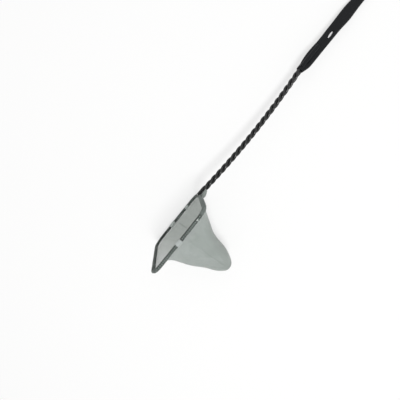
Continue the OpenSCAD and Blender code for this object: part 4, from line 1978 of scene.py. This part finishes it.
        lengths_of_hem = (
            ("gathered_band", upper[: self.gather_rows + 1], gathered, finishes.band, Panel.HANDLE, ()),
            ("upper_hem", upper[self.gather_rows :], plain, finishes.hem, Panel.HANDLE, ("hem_upper",)),
            ("lower_hem", lower, plain, finishes.hem, Panel.HANDLE, ("hem_lower",)),
            ("end_hem_upper", end[: first + 1], plain, finishes.hem, Panel.END, ()),
            ("end_hem", end[first : last + 1], plain, finishes.end_hem, Panel.END, ("hem_end",)),
            ("end_hem_lower", end[last:], plain, finishes.hem, Panel.END, ()),
        )
        sleeves: dict[Panel, list[bpy.types.Object]] = {panel: [] for panel in Panel}
        for name, path, swell, finish, panel, nodes in lengths_of_hem:
            sleeves[panel].append(keep(self.sleeve(name, path, swell, finish), "hem_mesh", *nodes))
        bare = self.hoop.hem_first()
        route = self.hoop.route()[bare:-bare]
        keep(self.shop.sew("whipped_thread", route, self.whipping, finishes.dull_thread), "thread")
        stitches = self.shop.sew("running_stitches", self.stitch_route(), self.running, finishes.thread)
        keep(stitches, "thread", "hem_thread")
        self.patches()
        self.knot(Side.UPPER, self.knot_x)
        self.knot(Side.LOWER, self.thread_end_x)
        return sleeves


@dataclass
class NeckFlap:
    """The gathered end of the mesh, which wraps the neck from the bag's side, in millimetres and degrees."""

    shop: Workshop
    wire: WireSizes = field(default_factory=WireSizes)
    start: float = -3.2
    end: float = 9.0
    turn: float = 80.0
    play: float = 0.05
    loft: float = 0.2
    flat: tuple[float, float] = (13.0, 12.2)
    sag: float = 2.4
    sag_start: float = 0.12
    sag_power: float = 0.8
    pleats: float = 9.0
    pleat_height: float = 0.28
    pleat_least: float = 0.4
    pleat_wander: float = 1.5
    ruffle: float = 0.5
    ruffle_from: float = 0.8
    ruffle_ease: float = 5.0
    crumple: float = 0.3
    spread_ease: float = 2.5
    rows: int = 40
    cols: int = 61

    @property
    def length(self) -> float:
        """Length of the flap along the shank."""
        return self.end - self.start

    def point(self, t: float, share: float) -> tuple[float, float, float]:
        """Return a point of the flap.

        Args:
            t: Share of the way along the shank.
            share: Way across it, from -1 to 1.

        Returns:
            The point, in the net's own frame.
        """
        inner = self.wire.lay + self.wire.radius + self.play
        sagging = math.pi * (self.sag_start + (1 - self.sag_start) * t)
        sag = self.sag * math.sin(sagging) ** self.sag_power if t < 1 else 0.0
        g = math.radians(self.turn) * share * (0.5 + 0.5 * smooth(t * self.spread_ease))
        wave = math.sin(self.pleats * g + self.pleat_wander * ripple(t * 2, share, 5.0))
        pleat = self.pleat_height * wave * (self.pleat_least + (1 - self.pleat_least) * t)
        edge = self.ruffle * ripple(share * 3, 7.0, 2.0) * smooth((t - self.ruffle_from) * self.ruffle_ease)
        r = inner + self.loft + sag * math.cos(g) ** 2 + pleat + self.crumple * ripple(t * 3, share * 2, 9.0)
        r = max(r, inner)
        return self.start + self.length * t + edge, -r * math.cos(g), r * math.sin(g)

    def build(self) -> None:
        """Make the flap."""
        down, across = np.linspace(0, 1, self.rows), np.linspace(-1, 1, self.cols)
        grid = np.array([[self.point(t, share) for share in across] for t in down])
        ahead = np.tile(self.length * down[:, None], self.cols)
        uv = np.dstack([[lengths(row) for row in grid], ahead])
        flap = self.shop.cloth("gathered_flap", grid, uv, self.shop.finishes.gathered)
        keep(flap, "hem_mesh", "neck_flap")


def resampled(path: Points, step: float) -> Points:
    """Return points at equal steps of about that length along a path.

    Args:
        path: The path.
        step: Length of a step.

    Returns:
        The points.
    """
    at = lengths(path)
    wanted = np.linspace(0, at[-1], max(2, round(at[-1] / step) + 1))
    return np.column_stack([np.interp(wanted, at, path[:, k]) for k in range(3)])


# The studio


@dataclass(frozen=True)
class Lamp:
    """A round soft light: its place and width in metres, and its power in watts."""

    name: str
    at: tuple[float, float, float]
    size: float
    power: float


@dataclass
class Studio:
    """The pale floor, the soft lights and the camera."""

    where: NetFrame
    camera_at: tuple[float, float, float] = (10.9, 49.9, 312.7)
    camera_right: tuple[float, float, float] = (0.6259, -0.773, 0.1039)
    camera_down: tuple[float, float, float] = (-0.7786, -0.6114, 0.1416)
    lens: float = 26.79
    sensor: float = 36.0
    lamps: tuple[Lamp, ...] = (
        Lamp("key", (-0.1, -0.34, 1.64), 0.45, 16.3),
        Lamp("fill", (0.7, 0.6, 1.4), 1.4, 2.5),
    )
    floor_radius: float = 3.0
    floor_sides: int = 96
    world_light: float = 0.5

    def floor(self) -> None:
        """Lay the floor."""
        turns = [2 * math.pi * i / self.floor_sides for i in range(self.floor_sides)]
        points = self.floor_radius * np.array([[math.cos(g), math.sin(g), 0.0] for g in turns])
        obj = mesh_object("floor", points, [tuple(range(self.floor_sides))])
        obj.data.materials.append(StudioFloor("studio_floor", (0.9, 0.9, 0.895)).build())
        obj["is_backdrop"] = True

    def hang(self, lamp: Lamp) -> None:
        """Hang a lamp, turned toward the net.

        Args:
            lamp: The lamp.
        """
        light = bpy.data.lights.new(lamp.name, "AREA")
        light.shape, light.size, light.energy = "DISK", lamp.size, lamp.power
        obj = bpy.data.objects.new(lamp.name, light)
        obj.location = lamp.at
        obj.rotation_euler = (-Vector(lamp.at)).to_track_quat("-Z", "Y").to_euler()
        bpy.context.scene.collection.objects.link(obj)

    def world(self) -> None:
        """Light everything softly from all round, and show white to what is seen."""
        world = bpy.data.worlds.new("studio")
        bpy.context.scene.world = world
        world.use_nodes = True
        graph = Graph(world.node_tree)
        white = {"Color": rgba(WHITE), "Strength": 1.0}
        soft = graph.node("ShaderNodeBackground", None, {**white, "Strength": self.world_light})
        white = graph.node("ShaderNodeBackground", None, white)
        seen = graph.node("ShaderNodeMixShader", None, {0: seen_ray(graph), 1: soft, 2: white})
        graph.node("ShaderNodeOutputWorld", None, {"Surface": seen})

    def camera(self) -> None:
        """Set the camera where the photograph was taken from."""
        data = bpy.data.cameras.new("camera")
        data.lens, data.sensor_width, data.clip_start, data.clip_end = self.lens, self.sensor, 0.01, 20.0
        camera = bpy.data.objects.new("camera", data)
        right = self.where.direction(self.camera_right).normalized()
        down = self.where.direction(self.camera_down)
        up = -(down - right * down.dot(right)).normalized()
        turn = Matrix((right, up, right.cross(up))).transposed()
        camera.matrix_world = Matrix.Translation(self.where.point(*self.camera_at)) @ turn.to_4x4()
        bpy.context.scene.collection.objects.link(camera)
        bpy.context.scene.camera = camera

    def build(self) -> None:
        """Set up the whole studio."""
        self.floor()
        self.world()
        for lamp in self.lamps:
            self.hang(lamp)
        self.camera()
        bpy.context.scene.view_settings.view_transform = "Standard"


def corners() -> list[list[float]]:
    """Return the lowest and the highest corner of what is shown."""
    return [[float(v) for v in corner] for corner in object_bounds()]


def dress(nodes: Mapping[str, bpy.types.Object], names: Sequence[str], material: bpy.types.Material) -> None:
    """Give the solids that stay in view a finish.

    Args:
        nodes: The CAD nodes by name.
        names: Those to dress.
        material: The finish.
    """
    for name in names:
        solid = nodes[name]
        if not solid.material_slots:
            solid.data.materials.append(material)
        for place in solid.material_slots:
            place.material = material
        LOG.info("%s: dressed", name)


def main() -> None:
    """Build the net's pieces in order and set up the studio."""
    logging.basicConfig(level=logging.INFO, format="%(name)s: %(message)s")
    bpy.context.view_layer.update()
    finishes = Finishes()
    where = NetFrame(frame["record"], Legs().eye)
    shop = Workshop(where, finishes)
    hoop, shank = Hoop(shop), Shank(shop)
    cores = ("hoop_core", "strand_core_1", "strand_core_2", "strand_core_3", "grip_wire_core")
    dress(frame["nodes"], cores, finishes.steel)
    dress(frame["nodes"], ("grip_wire_coating",), finishes.wire)
    hoop.build()
    shank.build()
    Grip(shop, shank).build()
    sleeves = Hem(shop, hoop).build()
    NeckFlap(shop).build()
    Bag(shop, hoop).build(sleeves)
    Studio(where).build()


if __name__ == "__main__":
    main()
